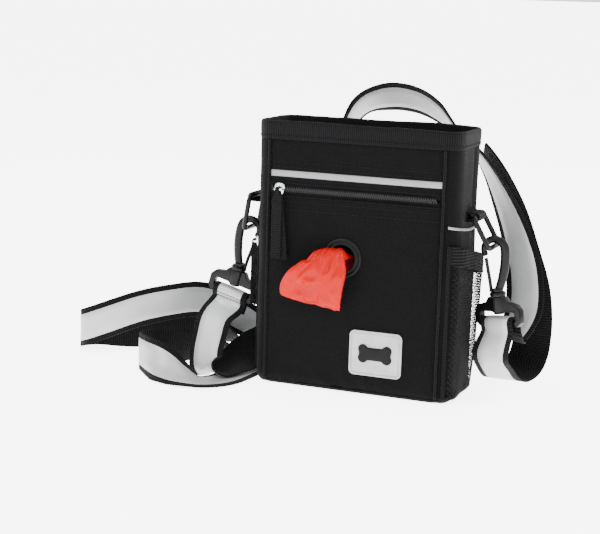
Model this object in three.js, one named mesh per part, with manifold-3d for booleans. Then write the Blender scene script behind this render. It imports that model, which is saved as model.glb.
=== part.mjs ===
// Treat pouch: a soft box bag with a zipped bag-dispensing front pocket, a mesh side pocket,
// a side zip and an adjustable shoulder strap on two swivel snap hooks.
// Millimetres. +Z up, front face towards -Y, origin at the centre of the base on the floor.
import * as THREE from 'three';
import { mergeVertices } from 'three/addons/utils/BufferGeometryUtils.js';
import Module from 'manifold-3d';

const wasm = await Module();
wasm.setup();

// ---------- driving dimensions ----------
const HEIGHT = 203;              // floor to the top of the rim
const HALF_DEPTH = 31;           // front and back outer faces
const HALF_WIDTH = 79;           // outermost reach of the side gussets
const SEAM_X = 68;               // front and back seams, from the centre
const GAP = 0.3;                 // clearance between neighbouring pieces
const FABRIC = 1.4;              // shell fabric with its backing
const BASE_THICK = 2.5;
const RIM_HEIGHT = 14;
const RIM_THICK = 3;
const LINING = 0.8;
const ZIP_Z = 151.5;             // centre of the front zip
const ZIP_HALF_SLOT = 5;         // half the opening that the zip tapes fill
const ZIP_HALF_LENGTH = 66;
const STRIP_Z = [161, 165.5];    // reflective strip on the front
const GROMMET = { x: -7, z: 103.5, outer: 15, inner: 9.5, flange: 2 };
const ROLL = { x: -7, y: -12.5, z: 88.2, radius: 14, core: 6, bore: 4.5, length: 62 };
const FILM = 1.2;                // thickness of the bunched bag film
const PATCH = { x: 21.5, z: 33.2, width: 41, height: 34, radius: 4, thick: 1.6 };
const SIDE_ZIP = { y: -14, top: 112, bottom: 12, slider: 107 };
const WEBBING = { width: 30, thick: 2 };
const FLOOR_CLEAR = 0.05;        // the lowest a length of webbing lies
const RING = { width: 28, drop: 25, bar: 1.9 };
const HOOK = { archRadius: 7.4, wire: 2.6, collarZ: -34, collarThick: 3, shank: 2.4 };
const BASE = { width: 41, height: 22, thick: 6, slotWidth: 32, slotTop: -11, slotBottom: -18 };
const LEFT = { x: -90, y: -4, z: 141, ringTilt: 9, hookTilt: 16, twist: 0, out: -1 };
const RIGHT = { x: 87, y: -1, z: 139, ringTilt: 30, hookTilt: 8, twist: -24, out: 1 };

// ---------- materials ----------
const paint = (color, roughness, metalness = 0) =>
  new THREE.MeshStandardMaterial({ color, roughness, metalness });
const fabric = paint(0x141416, 0.9);
const mesh = paint(0x1b1b1d, 0.85);
const grosgrain = paint(0x202022, 0.95);
const reflective = paint(0xb9bcbf, 0.45);
const nylon = paint(0x101012, 0.7);
const metal = paint(0xc4c6c8, 0.3, 0.9);
const plastic = paint(0x0f0f10, 0.4);
const rubber = paint(0x1a1a1b, 0.6);
const paleRubber = paint(0xbfc2bd, 0.55);
const film = paint(0xf2553f, 0.25);
const card = paint(0xa98d68, 0.9);

// ---------- geometry helpers ----------
const V = (x, y, z) => new THREE.Vector3(x, y, z);
const rad = THREE.MathUtils.degToRad;

// A closed body from rings of points: each ring is joined to the next, and the ends are
// capped, or joined to each other on a loop.
function skin(rings, loop = false) {
  const sides = rings[0].length;
  const position = rings.flat().flatMap((p) => [p.x, p.y, p.z]);
  const index = [];
  const last = loop ? rings.length : rings.length - 1;
  for (let i = 0; i < last; i += 1) {
    const next = (i + 1) % rings.length;
    for (let j = 0; j < sides; j += 1) {
      const k = (j + 1) % sides;
      const [a, b, c, d] = [i * sides + j, i * sides + k, next * sides + k, next * sides + j];
      index.push(a, b, c, a, c, d);
    }
  }
  if (!loop) {
    const end = (rings.length - 1) * sides;
    for (let j = 1; j < sides - 1; j += 1) {
      index.push(0, j + 1, j);
      index.push(end, end + j, end + j + 1);
    }
  }
  const geometry = new THREE.BufferGeometry();
  geometry.setAttribute('position', new THREE.Float32BufferAttribute(position, 3));
  geometry.setIndex(index);
  return outward(geometry);
}

// Turns a body's faces outward when its volume comes out negative.
function outward(geometry) {
  const p = geometry.attributes.position;
  const index = geometry.index.array;
  const [a, b, c] = [V(), V(), V()];
  let volume = 0;
  for (let i = 0; i < index.length; i += 3) {
    a.fromBufferAttribute(p, index[i]);
    b.fromBufferAttribute(p, index[i + 1]);
    c.fromBufferAttribute(p, index[i + 2]);
    volume += a.dot(b.cross(c));
  }
  if (volume < 0) geometry.setIndex(Array.from(index).reverse());
  return geometry;
}

// A ribbon of rectangular section: centre points, width directions, width and thickness.
function ribbonRings(centres, widths, width, thick) {
  return centres.map((centre, i) => {
    const before = centres[Math.max(i - 1, 0)];
    const after = centres[Math.min(i + 1, centres.length - 1)];
    const along = after.clone().sub(before).normalize();
    const across = widths[i].clone().addScaledVector(along, -widths[i].dot(along)).normalize();
    const normal = along.clone().cross(across);
    const corner = (u, v) =>
      centre.clone().addScaledVector(across, u * width / 2).addScaledVector(normal, v * thick / 2);
    return [corner(-1, -1), corner(1, -1), corner(1, 1), corner(-1, 1)];
  });
}

const ribbon = (...shape) => skin(ribbonRings(...shape));

// A round or oval bar along points: radii are one number or [in plane, out of plane] a point.
function bar(points, radii, sides = 8, loop = false, upward = V(0, 1, 0)) {
  const count = points.length;
  const rings = points.map((point, i) => {
    const before = loop ? points[(i + count - 1) % count] : points[Math.max(i - 1, 0)];
    const after = loop ? points[(i + 1) % count] : points[Math.min(i + 1, count - 1)];
    const along = after.clone().sub(before).normalize();
    const side = along.clone().cross(upward).normalize();
    const radius = Array.isArray(radii) ? radii[i] : [radii, radii];
    return Array.from({ length: sides }, (_, j) => {
      const turn = 2 * Math.PI * (j + 0.5) / sides;
      return point.clone()
        .addScaledVector(side, radius[0] * Math.cos(turn))
        .addScaledVector(upward, radius[1] * Math.sin(turn));
    });
  });
  return skin(rings, loop);
}

function toSolid(geometry) {
  const bare = geometry.clone();
  bare.deleteAttribute('normal');
  bare.deleteAttribute('uv');
  const merged = mergeVertices(bare, 1e-4);
  return new wasm.Manifold(new wasm.Mesh({
    numProp: 3,
    vertProperties: new Float32Array(merged.attributes.position.array),
    triVerts: new Uint32Array(merged.index.array),
  }));
}

function fromSolid(solid) {
  const { vertProperties, triVerts } = solid.getMesh();
  const geometry = new THREE.BufferGeometry();
  geometry.setAttribute('position', new THREE.BufferAttribute(vertProperties, 3));
  geometry.setIndex(new THREE.BufferAttribute(triVerts, 1));
  return geometry;
}

const joined = (...parts) => fromSolid(parts.map(toSolid).reduce((a, b) => a.add(b)));
const cut = (body, ...tools) => fromSolid(tools.map(toSolid).reduce((a, b) => a.subtract(b), toSolid(body)));

function box(low, high) {
  const [x, y, z] = high.map((value, i) => value - low[i]);
  const centre = high.map((value, i) => (value + low[i]) / 2);
  return new THREE.BoxGeometry(x, y, z).translate(...centre);
}

function cylinder(radius, length, axis, sides = 24) {
  const geometry = new THREE.CylinderGeometry(radius, radius, length, sides);
  if (axis === 'x') geometry.rotateZ(Math.PI / 2);
  if (axis === 'z') geometry.rotateX(Math.PI / 2);
  return geometry;
}

// A flat outline in X and Z, extruded from y = front towards +Y.
function plate(shape, front, thick, curveSegments = 6) {
  const geometry = new THREE.ExtrudeGeometry(shape, { depth: thick, bevelEnabled: false, curveSegments });
  return geometry.rotateX(Math.PI / 2).translate(0, front + thick, 0);
}

function roundedRectangle(x0, x1, z0, z1, radius) {
  const shape = new THREE.Shape();
  shape.moveTo(x0 + radius, z0);
  shape.lineTo(x1 - radius, z0);
  shape.absarc(x1 - radius, z0 + radius, radius, -Math.PI / 2, 0);
  shape.lineTo(x1, z1 - radius);
  shape.absarc(x1 - radius, z1 - radius, radius, 0, Math.PI / 2);
  shape.lineTo(x0 + radius, z1);
  shape.absarc(x0 + radius, z1 - radius, radius, Math.PI / 2, Math.PI);
  shape.lineTo(x0, z0 + radius);
  shape.absarc(x0 + radius, z0 + radius, radius, Math.PI, 1.5 * Math.PI);
  return shape;
}

// Half of the bag's plan outline on one side, from the front seam round to the back seam.
// `inset` moves it inwards.
const CORNER_Y = 18;
const CORNER_STEPS = 4;
function gussetLine(side, inset) {
  const line = [];
  for (const end of [-1, 1]) {
    for (let i = 0; i <= CORNER_STEPS; i += 1) {
      const step = end < 0 ? i : CORNER_STEPS - i;
      const turn = (Math.PI / 2) * (step / CORNER_STEPS);
      const x = SEAM_X + (HALF_WIDTH - SEAM_X - inset) * Math.sin(turn);
      const y = CORNER_Y + (HALF_DEPTH - CORNER_Y - inset) * Math.cos(turn);
      line.push(new THREE.Vector2(side * x, end * y));
    }
  }
  return line;
}

function outline(inset) {
  return [...gussetLine(1, inset), ...gussetLine(-1, inset).reverse()];
}

function upright(points, z0, z1, hole) {
  const shape = new THREE.Shape(points);
  if (hole) shape.holes.push(new THREE.Path(hole));
  return new THREE.ExtrudeGeometry(shape, { depth: z1 - z0, bevelEnabled: false }).translate(0, 0, z0);
}

const root = new THREE.Group();
root.name = 'treat_pouch';

function add(name, geometry, material, parent = root) {
  const piece = new THREE.Mesh(geometry, material);
  piece.name = name;
  parent.add(piece);
  return piece;
}

// ---------- shell of the bag ----------
const panelBottom = BASE_THICK + GAP;
const panelTop = HEIGHT - RIM_HEIGHT - GAP;
const front = -HALF_DEPTH;                    // outer face of the front panel
const inner = FABRIC + GAP;                   // from the outer faces to the lining

function makeShell() {
  const seam = SEAM_X - GAP;
  add('base_panel', upright(outline(0), 0, BASE_THICK), fabric);
  add('back_panel', box([-seam, HALF_DEPTH - FABRIC, panelBottom], [seam, HALF_DEPTH, panelTop]), fabric);
  add('front_upper_panel',
    box([-seam, front, ZIP_Z + ZIP_HALF_SLOT], [seam, front + FABRIC, panelTop]), fabric);
  const lower = box([-seam, front, panelBottom], [seam, front + FABRIC, ZIP_Z - ZIP_HALF_SLOT]);
  const hole = cylinder(GROMMET.inner + 1.5, 10, 'y', 24).translate(GROMMET.x, front, GROMMET.z);
  add('front_lower_panel', cut(lower, hole), fabric);
  for (const [name, side] of [['left_gusset', -1], ['right_gusset', 1]]) {
    const band = [...gussetLine(side, 0), ...gussetLine(side, FABRIC).reverse()];
    add(name, upright(band, panelBottom, panelTop), fabric);
  }
  const rim = upright(outline(-0.8), HEIGHT - RIM_HEIGHT, HEIGHT, outline(RIM_THICK - 0.8));
  add('rim_binding', rim, grosgrain);
}

// The lining is one thin open bag. It stops below the rim and is cut away behind the grommet
// and the zip, where the front pocket opens.
function makeLining() {
  const floor = BASE_THICK + GAP;
  const walls = upright(outline(inner), floor, panelTop, outline(inner + LINING));
  const bottom = upright(outline(inner), floor, floor + LINING);
  const pocketSide = box([-SEAM_X, front, floor + 4], [SEAM_X, front + 4, ZIP_Z + ZIP_HALF_SLOT]);
  add('lining', cut(joined(walls, bottom), pocketSide), fabric);
}

// The divider hangs between the front pocket and the main compartment, and bellies back
// around the bag roll.
function makeDivider() {
  const half = SEAM_X - 1.5;
  const depths = [[157, -27.5], [140, -16], [120, -1], [103, 4.5], [88, 5.5], [72, 4.5], [50, -4],
    [24, -12], [5, -14]];
  const curve = new THREE.CatmullRomCurve3(depths.map(([z, y]) => V(0, y, z)));
  const centres = curve.getPoints(20);
  add('divider_panel', ribbon(centres, centres.map(() => V(1, 0, 0)), 2 * half, 1), fabric);
}

function makeTrim() {
  const half = SEAM_X - 1;
  add('reflective_strip',
    box([-half, front - GAP - 0.6, STRIP_Z[0]], [half, front - GAP, STRIP_Z[1]]), reflective);
  const trim = gussetLine(1, -GAP - 0.6).slice(2, 8);
  const back = gussetLine(1, -GAP).slice(2, 8).reverse();
  add('side_reflective_trim', upright([...trim, ...back], 126, 129), reflective);
  for (const [name, side] of [['left_front_piping', -1], ['right_front_piping', 1]]) {
    const x = side * (SEAM_X + 0.6);
    const cord = cylinder(1.1, panelTop - panelBottom - 3, 'z', 8);
    add(name, cord.translate(x, front - 1.5, (panelTop + panelBottom) / 2), grosgrain);
  }
}

function makeSnaps() {
  for (const [name, y] of [['front_magnet', front + inner + LINING + GAP], ['back_magnet',
    HALF_DEPTH - inner - LINING - GAP - 2.5]]) {
    const disc = cylinder(7, 2.5, 'y', 20).translate(0, y + 1.25, 178);
    add(name, disc, metal);
  }
}

// ---------- front pocket: zip, grommet, bag roll, patch ----------
function makeFrontZip() {
  const top = ZIP_Z + ZIP_HALF_SLOT - GAP;
  const bottom = ZIP_Z - ZIP_HALF_SLOT + GAP;
  const coil = 2.6;
  const tapeFront = front + 0.4;
  const half = ZIP_HALF_LENGTH;
  add('front_zip_upper_tape',
    box([-half, tapeFront, ZIP_Z + coil / 2 + GAP], [half, tapeFront + 1, top]), nylon);
  add('front_zip_lower_tape',
    box([-half, tapeFront, bottom], [half, tapeFront + 1, ZIP_Z - coil / 2 - GAP]), nylon);
  add('front_zip_coil',
    box([-half, front - 0.4, ZIP_Z - coil / 2], [half, front + 1.4, ZIP_Z + coil / 2]), nylon);
  makeSlider('front_zip_slider', V(-59, front - 0.4 - GAP, ZIP_Z), 0);
  makePuller('front_zip_puller', V(-59, front - 0.4 - GAP, ZIP_Z), 0, 8, 52);
}

// A slider is a low plate on the coil with a bail standing out from it. `turn` is 0 on the
// front face and 90 on the left face.
const SLIDER = { width: 8, height: 9, plate: 1.8, bailOut: 4.6, bailWire: 0.9 };
function makeSlider(name, at, turn) {
  const holder = new THREE.Group();
  holder.position.copy(at);
  holder.rotation.z = -rad(turn);
  root.add(holder);
  const { width, height, plate: thick, bailOut, bailWire } = SLIDER;
  const body = box([-width / 2, -thick, -height / 2], [width / 2, 0, height / 2]);
  const hoop = [V(-2.6, -thick + 0.6, 0), V(-2.6, -bailOut, 0), V(2.6, -bailOut, 0), V(2.6, -thick + 0.6, 0)];
  add(name, joined(body, bar(hoop, bailWire, 8, false, V(0, 0, 1))), metal, holder);
}

// A webbing puller threaded over the bail, hanging straight down.
function makePuller(name, at, turn, width, length) {
  const holder = new THREE.Group();
  holder.position.copy(at);
  holder.rotation.z = -rad(turn);
  root.add(holder);
  const y = -SLIDER.bailOut;
  const eye = SLIDER.bailWire + 0.4;
  const path = [];
  for (let i = 0; i <= 6; i += 1) {
    const angle = Math.PI * (1 - i / 6);
    path.push(V(0, y + (eye + 0.6) * Math.cos(angle), (eye + 0.6) * Math.sin(angle)));
  }
  path.unshift(V(0, y - eye - 0.6, -4));
  path.push(V(0, y + eye + 0.6, -4));
  const loop = ribbon(path, path.map(() => V(1, 0, 0)), 3.2, 1);
  const strap = box([-width / 2, y - eye - 1.1, -length], [width / 2, y + eye + 1.1, -3.6]);
  add(name, joined(loop, strap), grosgrain, holder);
}

function ringProfile(name, innerRadius, outerRadius, y0, y1, material) {
  const outer = cylinder(outerRadius, y1 - y0, 'y', 28);
  const bore = cylinder(innerRadius, y1 - y0 + 2, 'y', 28);
  add(name, cut(outer, bore).translate(GROMMET.x, (y0 + y1) / 2, GROMMET.z), material);
}

function makeGrommet() {
  const { outer, inner: bore, flange } = GROMMET;
  const neck = cylinder(bore + 1.2, FABRIC + 1.6, 'y', 28).translate(0, front + 1.2, 0);
  const face = cylinder(outer, flange, 'y', 28).translate(0, front - GAP - flange / 2, 0);
  const hole = cylinder(bore, 12, 'y', 28).translate(0, front, 0);
  add('grommet', cut(joined(neck, face), hole).translate(GROMMET.x, 0, GROMMET.z), rubber);
  ringProfile('grommet_washer', bore + 1.5, outer - 2, front + inner, front + inner + 1.2, rubber);
}

function makeRoll() {
  const { x, y, z, radius, core, bore, length } = ROLL;
  const wound = cut(cylinder(radius, length, 'x', 28), cylinder(core + GAP, length + 2, 'x', 28));
  add('bag_roll', wound.translate(x, y, z), film);
  const tube = cut(cylinder(core, length, 'x', 20), cylinder(bore, length + 2, 'x', 20));
  add('roll_core', tube.translate(x, y, z), card);
}

// The loose end of the next bag: flat over the roll, bunched through the grommet, and
// hanging fanned out below it.
function makeTail() {
  const top = ROLL.z + ROLL.radius + 1.2;
  const spine = [
    [V(-7, 2.5, top), V(1, 0, 0), 12, FILM],
    [V(-7, -14, top + 0.2), V(1, 0, 0), 12, 1.6],
    [V(-7, -27, top), V(1, 0, 0), 11, 4],
    [V(-7.5, -36, top - 0.2), V(1, 0, 0), 11, 5],
    [V(-11, -41, 103.5), V(1, 0, 0), 24, 9],
    [V(-17, -44, 97), V(1, 0, 0), 36, 10],
    [V(-23, -44, 87.5), V(1, 0, 0), 44, 10],
    [V(-28, -42, 77), V(1, 0, 0), 48, 8],
    [V(-29, -40, 68.5), V(1, 0, 0), 40, 4],
  ];
  const rings = spine.map(([centre, across, width, thick], i) => {
    const before = spine[Math.max(i - 1, 0)][0];
    const after = spine[Math.min(i + 1, spine.length - 1)][0];
    const along = after.clone().sub(before).normalize();
    const side = across.clone().addScaledVector(along, -across.dot(along)).normalize();
    const normal = along.clone().cross(side);
    return Array.from({ length: 10 }, (_, j) => {
      const turn = 2 * Math.PI * j / 10;
      return centre.clone()
        .addScaledVector(side, Math.cos(turn) * width / 2)
        .addScaledVector(normal, Math.sin(turn) * thick / 2);
    });
  });
  add('bag_tail', skin(rings), film);
}

function makePatch() {
  const { x, z, width, height, radius, thick } = PATCH;
  const face = front - GAP - thick;
  const area = roundedRectangle(x - width / 2, x + width / 2, z - height / 2, z + height / 2, radius);
  add('patch', plate(area, face, thick, 4), paleRubber);
  add('patch_emblem', plate(boneShape(x, z), face - GAP - 0.8, 0.8, 5), rubber);
}

// A plain bone: a shaft with two round knuckles at each end.
function boneShape(x, z) {
  const [halfShaft, halfThick, knuckle] = [8, 2.6, 3.6];
  const shape = new THREE.Shape();
  shape.moveTo(x - halfShaft, z - halfThick);
  shape.lineTo(x + halfShaft, z - halfThick);
  shape.absarc(x + halfShaft + 1.6, z - knuckle, knuckle, Math.PI * 0.85, Math.PI * 2.45);
  shape.absarc(x + halfShaft + 1.6, z + knuckle, knuckle, -Math.PI * 0.45, Math.PI * 1.15);
  shape.lineTo(x - halfShaft, z + halfThick);
  shape.absarc(x - halfShaft - 1.6, z + knuckle, knuckle, -Math.PI * 0.15, Math.PI * 1.45);
  shape.absarc(x - halfShaft - 1.6, z - knuckle, knuckle, Math.PI * 0.55, Math.PI * 2.15);
  return shape;
}

// ---------- left side zip ----------
function makeSideZip() {
  const { y, top, bottom, slider } = SIDE_ZIP;
  const face = -HALF_WIDTH;
  add('side_zip_tape', box([face - GAP - 0.7, y - 6, bottom], [face - GAP, y + 6, top]), nylon);
  add('side_zip_coil',
    box([face - 2 * GAP - 2, y - 1.3, bottom], [face - 2 * GAP - 0.7, y + 1.3, top]), nylon);
  const at = V(face - 3 * GAP - 2, y, slider);
  makeSlider('side_zip_slider', at, 90);
  makePuller('side_zip_puller', at, 90, 7, 50);
}

// ---------- mesh pocket on the right side ----------
const POCKET = { bulge: 8, stand: 2.5, thick: 1.2, bandFront: 119, bandBack: 105, band: 14 };
function pocketPoint(t, z) {
  const y = THREE.MathUtils.lerp(-HALF_DEPTH + 1, HALF_DEPTH - 1, t);
  const depth = gussetX(y) + POCKET.stand;
  const fill = Math.sin(Math.PI * t) ** 0.6;
  const tall = Math.min(1, Math.max(z - 6, 0) / 85) ** 0.8;
  return V(depth + POCKET.bulge * fill * tall * (0.55 + 0.45 * t), y, z);
}

function gussetX(y) {
  const past = Math.max(Math.abs(y) - CORNER_Y, 0) / (HALF_DEPTH - CORNER_Y);
  return SEAM_X + (HALF_WIDTH - SEAM_X) * Math.sqrt(Math.max(1 - past * past, 0));
}

// A curved sheet between two heights, which may slope from the front edge to the back edge.
function pocketSheet(low, high, thick, columns, rows) {
  const rings = [];
  for (let i = 0; i <= columns; i += 1) {
    const t = i / columns;
    const [z0, z1] = [low(t), high(t)];
    const outside = [];
    for (let j = 0; j <= rows; j += 1) outside.push(pocketPoint(t, z0 + (z1 - z0) * j / rows));
    const inside = outside.map((p) => V(p.x - thick, p.y, p.z)).reverse();
    rings.push([...outside, ...inside]);
  }
  return cappedSkin(rings, rows + 1);
}

// Like skin, but its end caps are strips between the outside and the inside edge.
function cappedSkin(rings, half) {
  const geometry = skin(rings);
  const sides = rings[0].length;
  const index = Array.from(geometry.index.array);
  const capTriangles = 2 * (sides - 2) * 3;
  const flipped = index[0] !== 0;
  const walls = flipped ? index.slice(capTriangles) : index.slice(0, index.length - capTriangles);
  const end = (rings.length - 1) * sides;
  for (let j = 0; j < half - 1; j += 1) {
    const [a, b, c, d] = [j, j + 1, sides - 2 - j, sides - 1 - j];
    const near = [a, c, b, a, d, c];
    const far = [a, b, c, a, c, d].map((n) => n + end);
    const cap = [...near, ...far];
    walls.push(...(flipped ? cap.reverse() : cap));
  }
  geometry.setIndex(walls);
  return geometry;
}

function makePocket() {
  const bandTop = (t) => THREE.MathUtils.lerp(POCKET.bandFront, POCKET.bandBack, t);
  const bandLow = (t) => bandTop(t) - POCKET.band;
  add('mesh_pocket', pocketSheet(() => 4, (t) => bandLow(t) - GAP, POCKET.thick, 12, 6), mesh);
  add('pocket_elastic_band', pocketSheet(bandLow, bandTop, 2, 12, 1), grosgrain);
}

// ---------- strap hardware, the same on both sides but for its mirrored arm ----------
// `out` is -1 on the left and +1 on the right.
function hang(side, place) {
  const ring = new THREE.Group();
  ring.position.set(place.x, place.y, place.z);
  ring.rotation.y = -place.out * rad(place.ringTilt);
  root.add(ring);
  const hook = new THREE.Group();
  hook.position.set(0, 0, -RING.drop);
  hook.rotation.y = -place.out * rad(place.hookTilt - place.ringTilt);
  ring.add(hook);
  const base = new THREE.Group();
  base.position.set(0, 0, HOOK.collarZ - HOOK.collarThick - 0.4);
  base.rotation.z = rad(place.twist);
  hook.add(base);
  makeTab(`${side}_ring_tab`, place);
  makeRing(`${side}_ring`, ring);
  makeHook(`${side}_hook`, hook, place.out);
  makeGate(`${side}_hook_gate`, hook, place.out);
  makeSwivelBase(`${side}_swivel_base`, base);
  root.updateMatrixWorld(true);
  return base.matrixWorld.clone();
}

// A folded webbing tab sewn to the gusset, with the ring's top bar through its fold.
function makeTab(name, place) {
  const halfWidth = 10;
  const wrap = RING.bar + 0.5;
  const far = place.x + place.out * (wrap + 1.4);
  const near = place.out * (HALF_WIDTH + GAP);
  const [x0, x1] = [Math.min(far, near), Math.max(far, near)];
  const block = box([x0, place.y - halfWidth, place.z - wrap - 1.2],
    [x1, place.y + halfWidth, place.z + wrap + 1.2]);
  const eye = cylinder(wrap, 4 * halfWidth, 'y', 16).translate(place.x, place.y, place.z);
  add(name, cut(block, eye), grosgrain);
}

function makeRing(name, parent) {
  const half = RING.width / 2;
  const corner = 3.5;
  const points = [];
  const corners = [[half - corner, -corner, 0], [-half + corner, -corner, 90],
    [-half + corner, -RING.drop + corner, 180], [half - corner, -RING.drop + corner, 270]];
  for (const [y, z, from] of corners) {
    for (let i = 0; i <= 3; i += 1) {
      const turn = rad(from + 30 * i);
      points.push(V(0, y + corner * Math.cos(turn), z + corner * Math.sin(turn)));
    }
  }
  add(name, bar(points, RING.bar, 8, true, V(1, 0, 0)), plastic, parent);
}

// The arch hooks over the ring's lower bar, which is the group's origin. The heavy arm is on
// the outer side, and a shank with a head hangs below the collar and turns in the base.
function makeHook(name, parent, out) {
  const { archRadius, wire, collarZ, collarThick, shank } = HOOK;
  const archCentre = -(archRadius - wire - RING.bar - 0.4);
  const points = [];
  const radii = [];
  for (let i = 0; i <= 9; i += 1) {
    const turn = rad(-25 + 205 * i / 9);
    points.push(V(-out * archRadius * Math.cos(turn), 0, archCentre + archRadius * Math.sin(turn)));
    radii.push([THREE.MathUtils.lerp(2.1, wire, i / 9), 2.6]);
  }
  for (const [x, z, radius] of [[7.2, -10, 2.9], [5.8, -18, 3.1], [3.6, -26, 3.2], [1.2, -32, 3.2],
    [0, collarZ - 1, 3.2]]) {
    points.push(V(out * x, 0, z));
    radii.push([radius, 2.6]);
  }
  const collar = cylinder(6, collarThick, 'z', 20).translate(0, 0, collarZ - collarThick / 2);
  const shankLength = 0.4 - BASE.slotTop + 1.6;
  const shankTop = collarZ - collarThick;
  const pin = cylinder(shank, shankLength + 1, 'z', 16).translate(0, 0, shankTop - shankLength / 2 + 0.5);
  const head = cylinder(4.2, 1.3, 'z', 16).translate(0, 0, shankTop - 0.4 + BASE.slotTop - 0.3 - 0.65);
  add(name, joined(bar(points, radii), collar, pin, head), plastic, parent);
}

function makeGate(name, parent, out) {
  const points = [[4.7, HOOK.collarZ + 0.5], [5.0, -26], [5.8, -17], [6.5, -8]].map(([x, z]) => V(-out * x, 0, z));
  add(name, bar(points, points.map(() => [1.2, 2.2])), plastic, parent);
}

function makeSwivelBase(name, parent) {
  const { width, height, thick, slotWidth, slotTop, slotBottom } = BASE;
  const half = width / 2;
  const rightSide = [[7, 0], [10, -4], [half - 3, -6], [half, -10], [half, 3 - height], [half - 3, -height]];
  const leftSide = rightSide.map(([x, z]) => [-x, z]).reverse();
  const shape = new THREE.Shape([...rightSide, ...leftSide].map(([x, z]) => new THREE.Vector2(x, z)));
  const slot = roundedRectangle(-slotWidth / 2, slotWidth / 2, slotBottom, slotTop, 1.5);
  shape.holes.push(new THREE.Path(slot.getPoints(4)));
  const barrel = cylinder(5.6, -slotTop, 'z', 20).translate(0, 0, slotTop / 2);
  const boreLength = 14;
  const bore = cylinder(HOOK.shank + 0.35, boreLength, 'z', 16).translate(0, 0, slotTop - 0.5 + boreLength / 2);
  add(name, cut(joined(plate(shape, -thick / 2, thick), barrel), bore), plastic, parent);
}

// ---------- shoulder strap ----------
// Each station of a strap is its centre and its width direction, by hand along the real route.
const station = ([x, y, z, u, v, w]) => ({ at: V(x, y, z), across: V(u, v, w).normalize() });

// Rings of a strap's rectangular section, evenly stepped along a smooth curve.
function strapRings(stations, steps) {
  const route = new THREE.CatmullRomCurve3(stations.map((s) => s.at));
  const turns = new THREE.CatmullRomCurve3(stations.map((s) => s.across));
  const centres = [];
  const widths = [];
  for (let i = 0; i <= steps; i += 1) {
    centres.push(route.getPoint(i / steps));
    widths.push(turns.getPoint(i / steps));
  }
  const rings = ribbonRings(centres, widths, WEBBING.width, WEBBING.thick);
  return rings.map((ring) => ring.map((p) => p.setZ(Math.max(p.z, FLOOR_CLEAR))));
}

// Cuts one strand into named nodes at the given shares of its steps, with a small gap between.
function addStrand(stations, steps, pieces) {
  const rings = strapRings(stations, steps);
  let from = 0;
  for (const [name, share] of pieces) {
    const to = Math.round(share * steps);
    const run = rings.slice(from, to + 1);
    if (from > 0) {
      const share0 = (GAP + 0.1) / run[0][0].distanceTo(run[1][0]);
      const share1 = (GAP + 0.1) / run[0][1].distanceTo(run[1][1]);
      run[0] = run[0].map((p, i) => p.clone().lerp(run[1][i], i % 3 === 0 ? share0 : share1));
    }
    add(name, skin(run), grosgrain);
    from = to;
  }
}

// Stations round the bottom bar of a swivel base, from the back of the bar over its top to
// the front, in the base's own frame.
function foldStations(matrix, backZ, across) {
  const barTop = BASE.slotBottom;
  const clear = BASE.thick / 2 + WEBBING.thick / 2 + 0.9;
  const path = [[0, clear, backZ], [0, clear, barTop - 2], [0, clear * 0.8, barTop + 1.2],
    [0, 0, barTop + 2.6], [0, -clear * 0.8, barTop + 1.2], [0, -clear, barTop - 2], [0, -clear, barTop - 8]];
  const turn = new THREE.Quaternion().setFromRotationMatrix(matrix);
  return path.map(([x, y, z]) => ({
    at: V(x, y, z).applyMatrix4(matrix),
    across: V(across, 0, 0).applyQuaternion(turn),
  }));
}

const LEFT_DROP = [
  [-118, -16, 44, -0.97, 0.1, 0.18], [-118.5, -25, 30, -0.97, 0.14, 0.1],
  [-117.5, -33, 16.5, -0.97, 0.2, 0.06], [-113.5, -38, 7.8, -0.96, 0.25, 0.03],
  [-107, -35.5, 5, -0.96, 0.27, 0.02], [-102, -26, 7, -0.93, 0.28, 0.12],
  [-98, -13, 11.2, -0.8, 0.22, 0.5], [-94.5, -1, 15.2, -0.6, 0.1, 0.8],
  [-92, 9, 17.6, -0.35, 0, 0.93],
].map(station);

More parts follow.
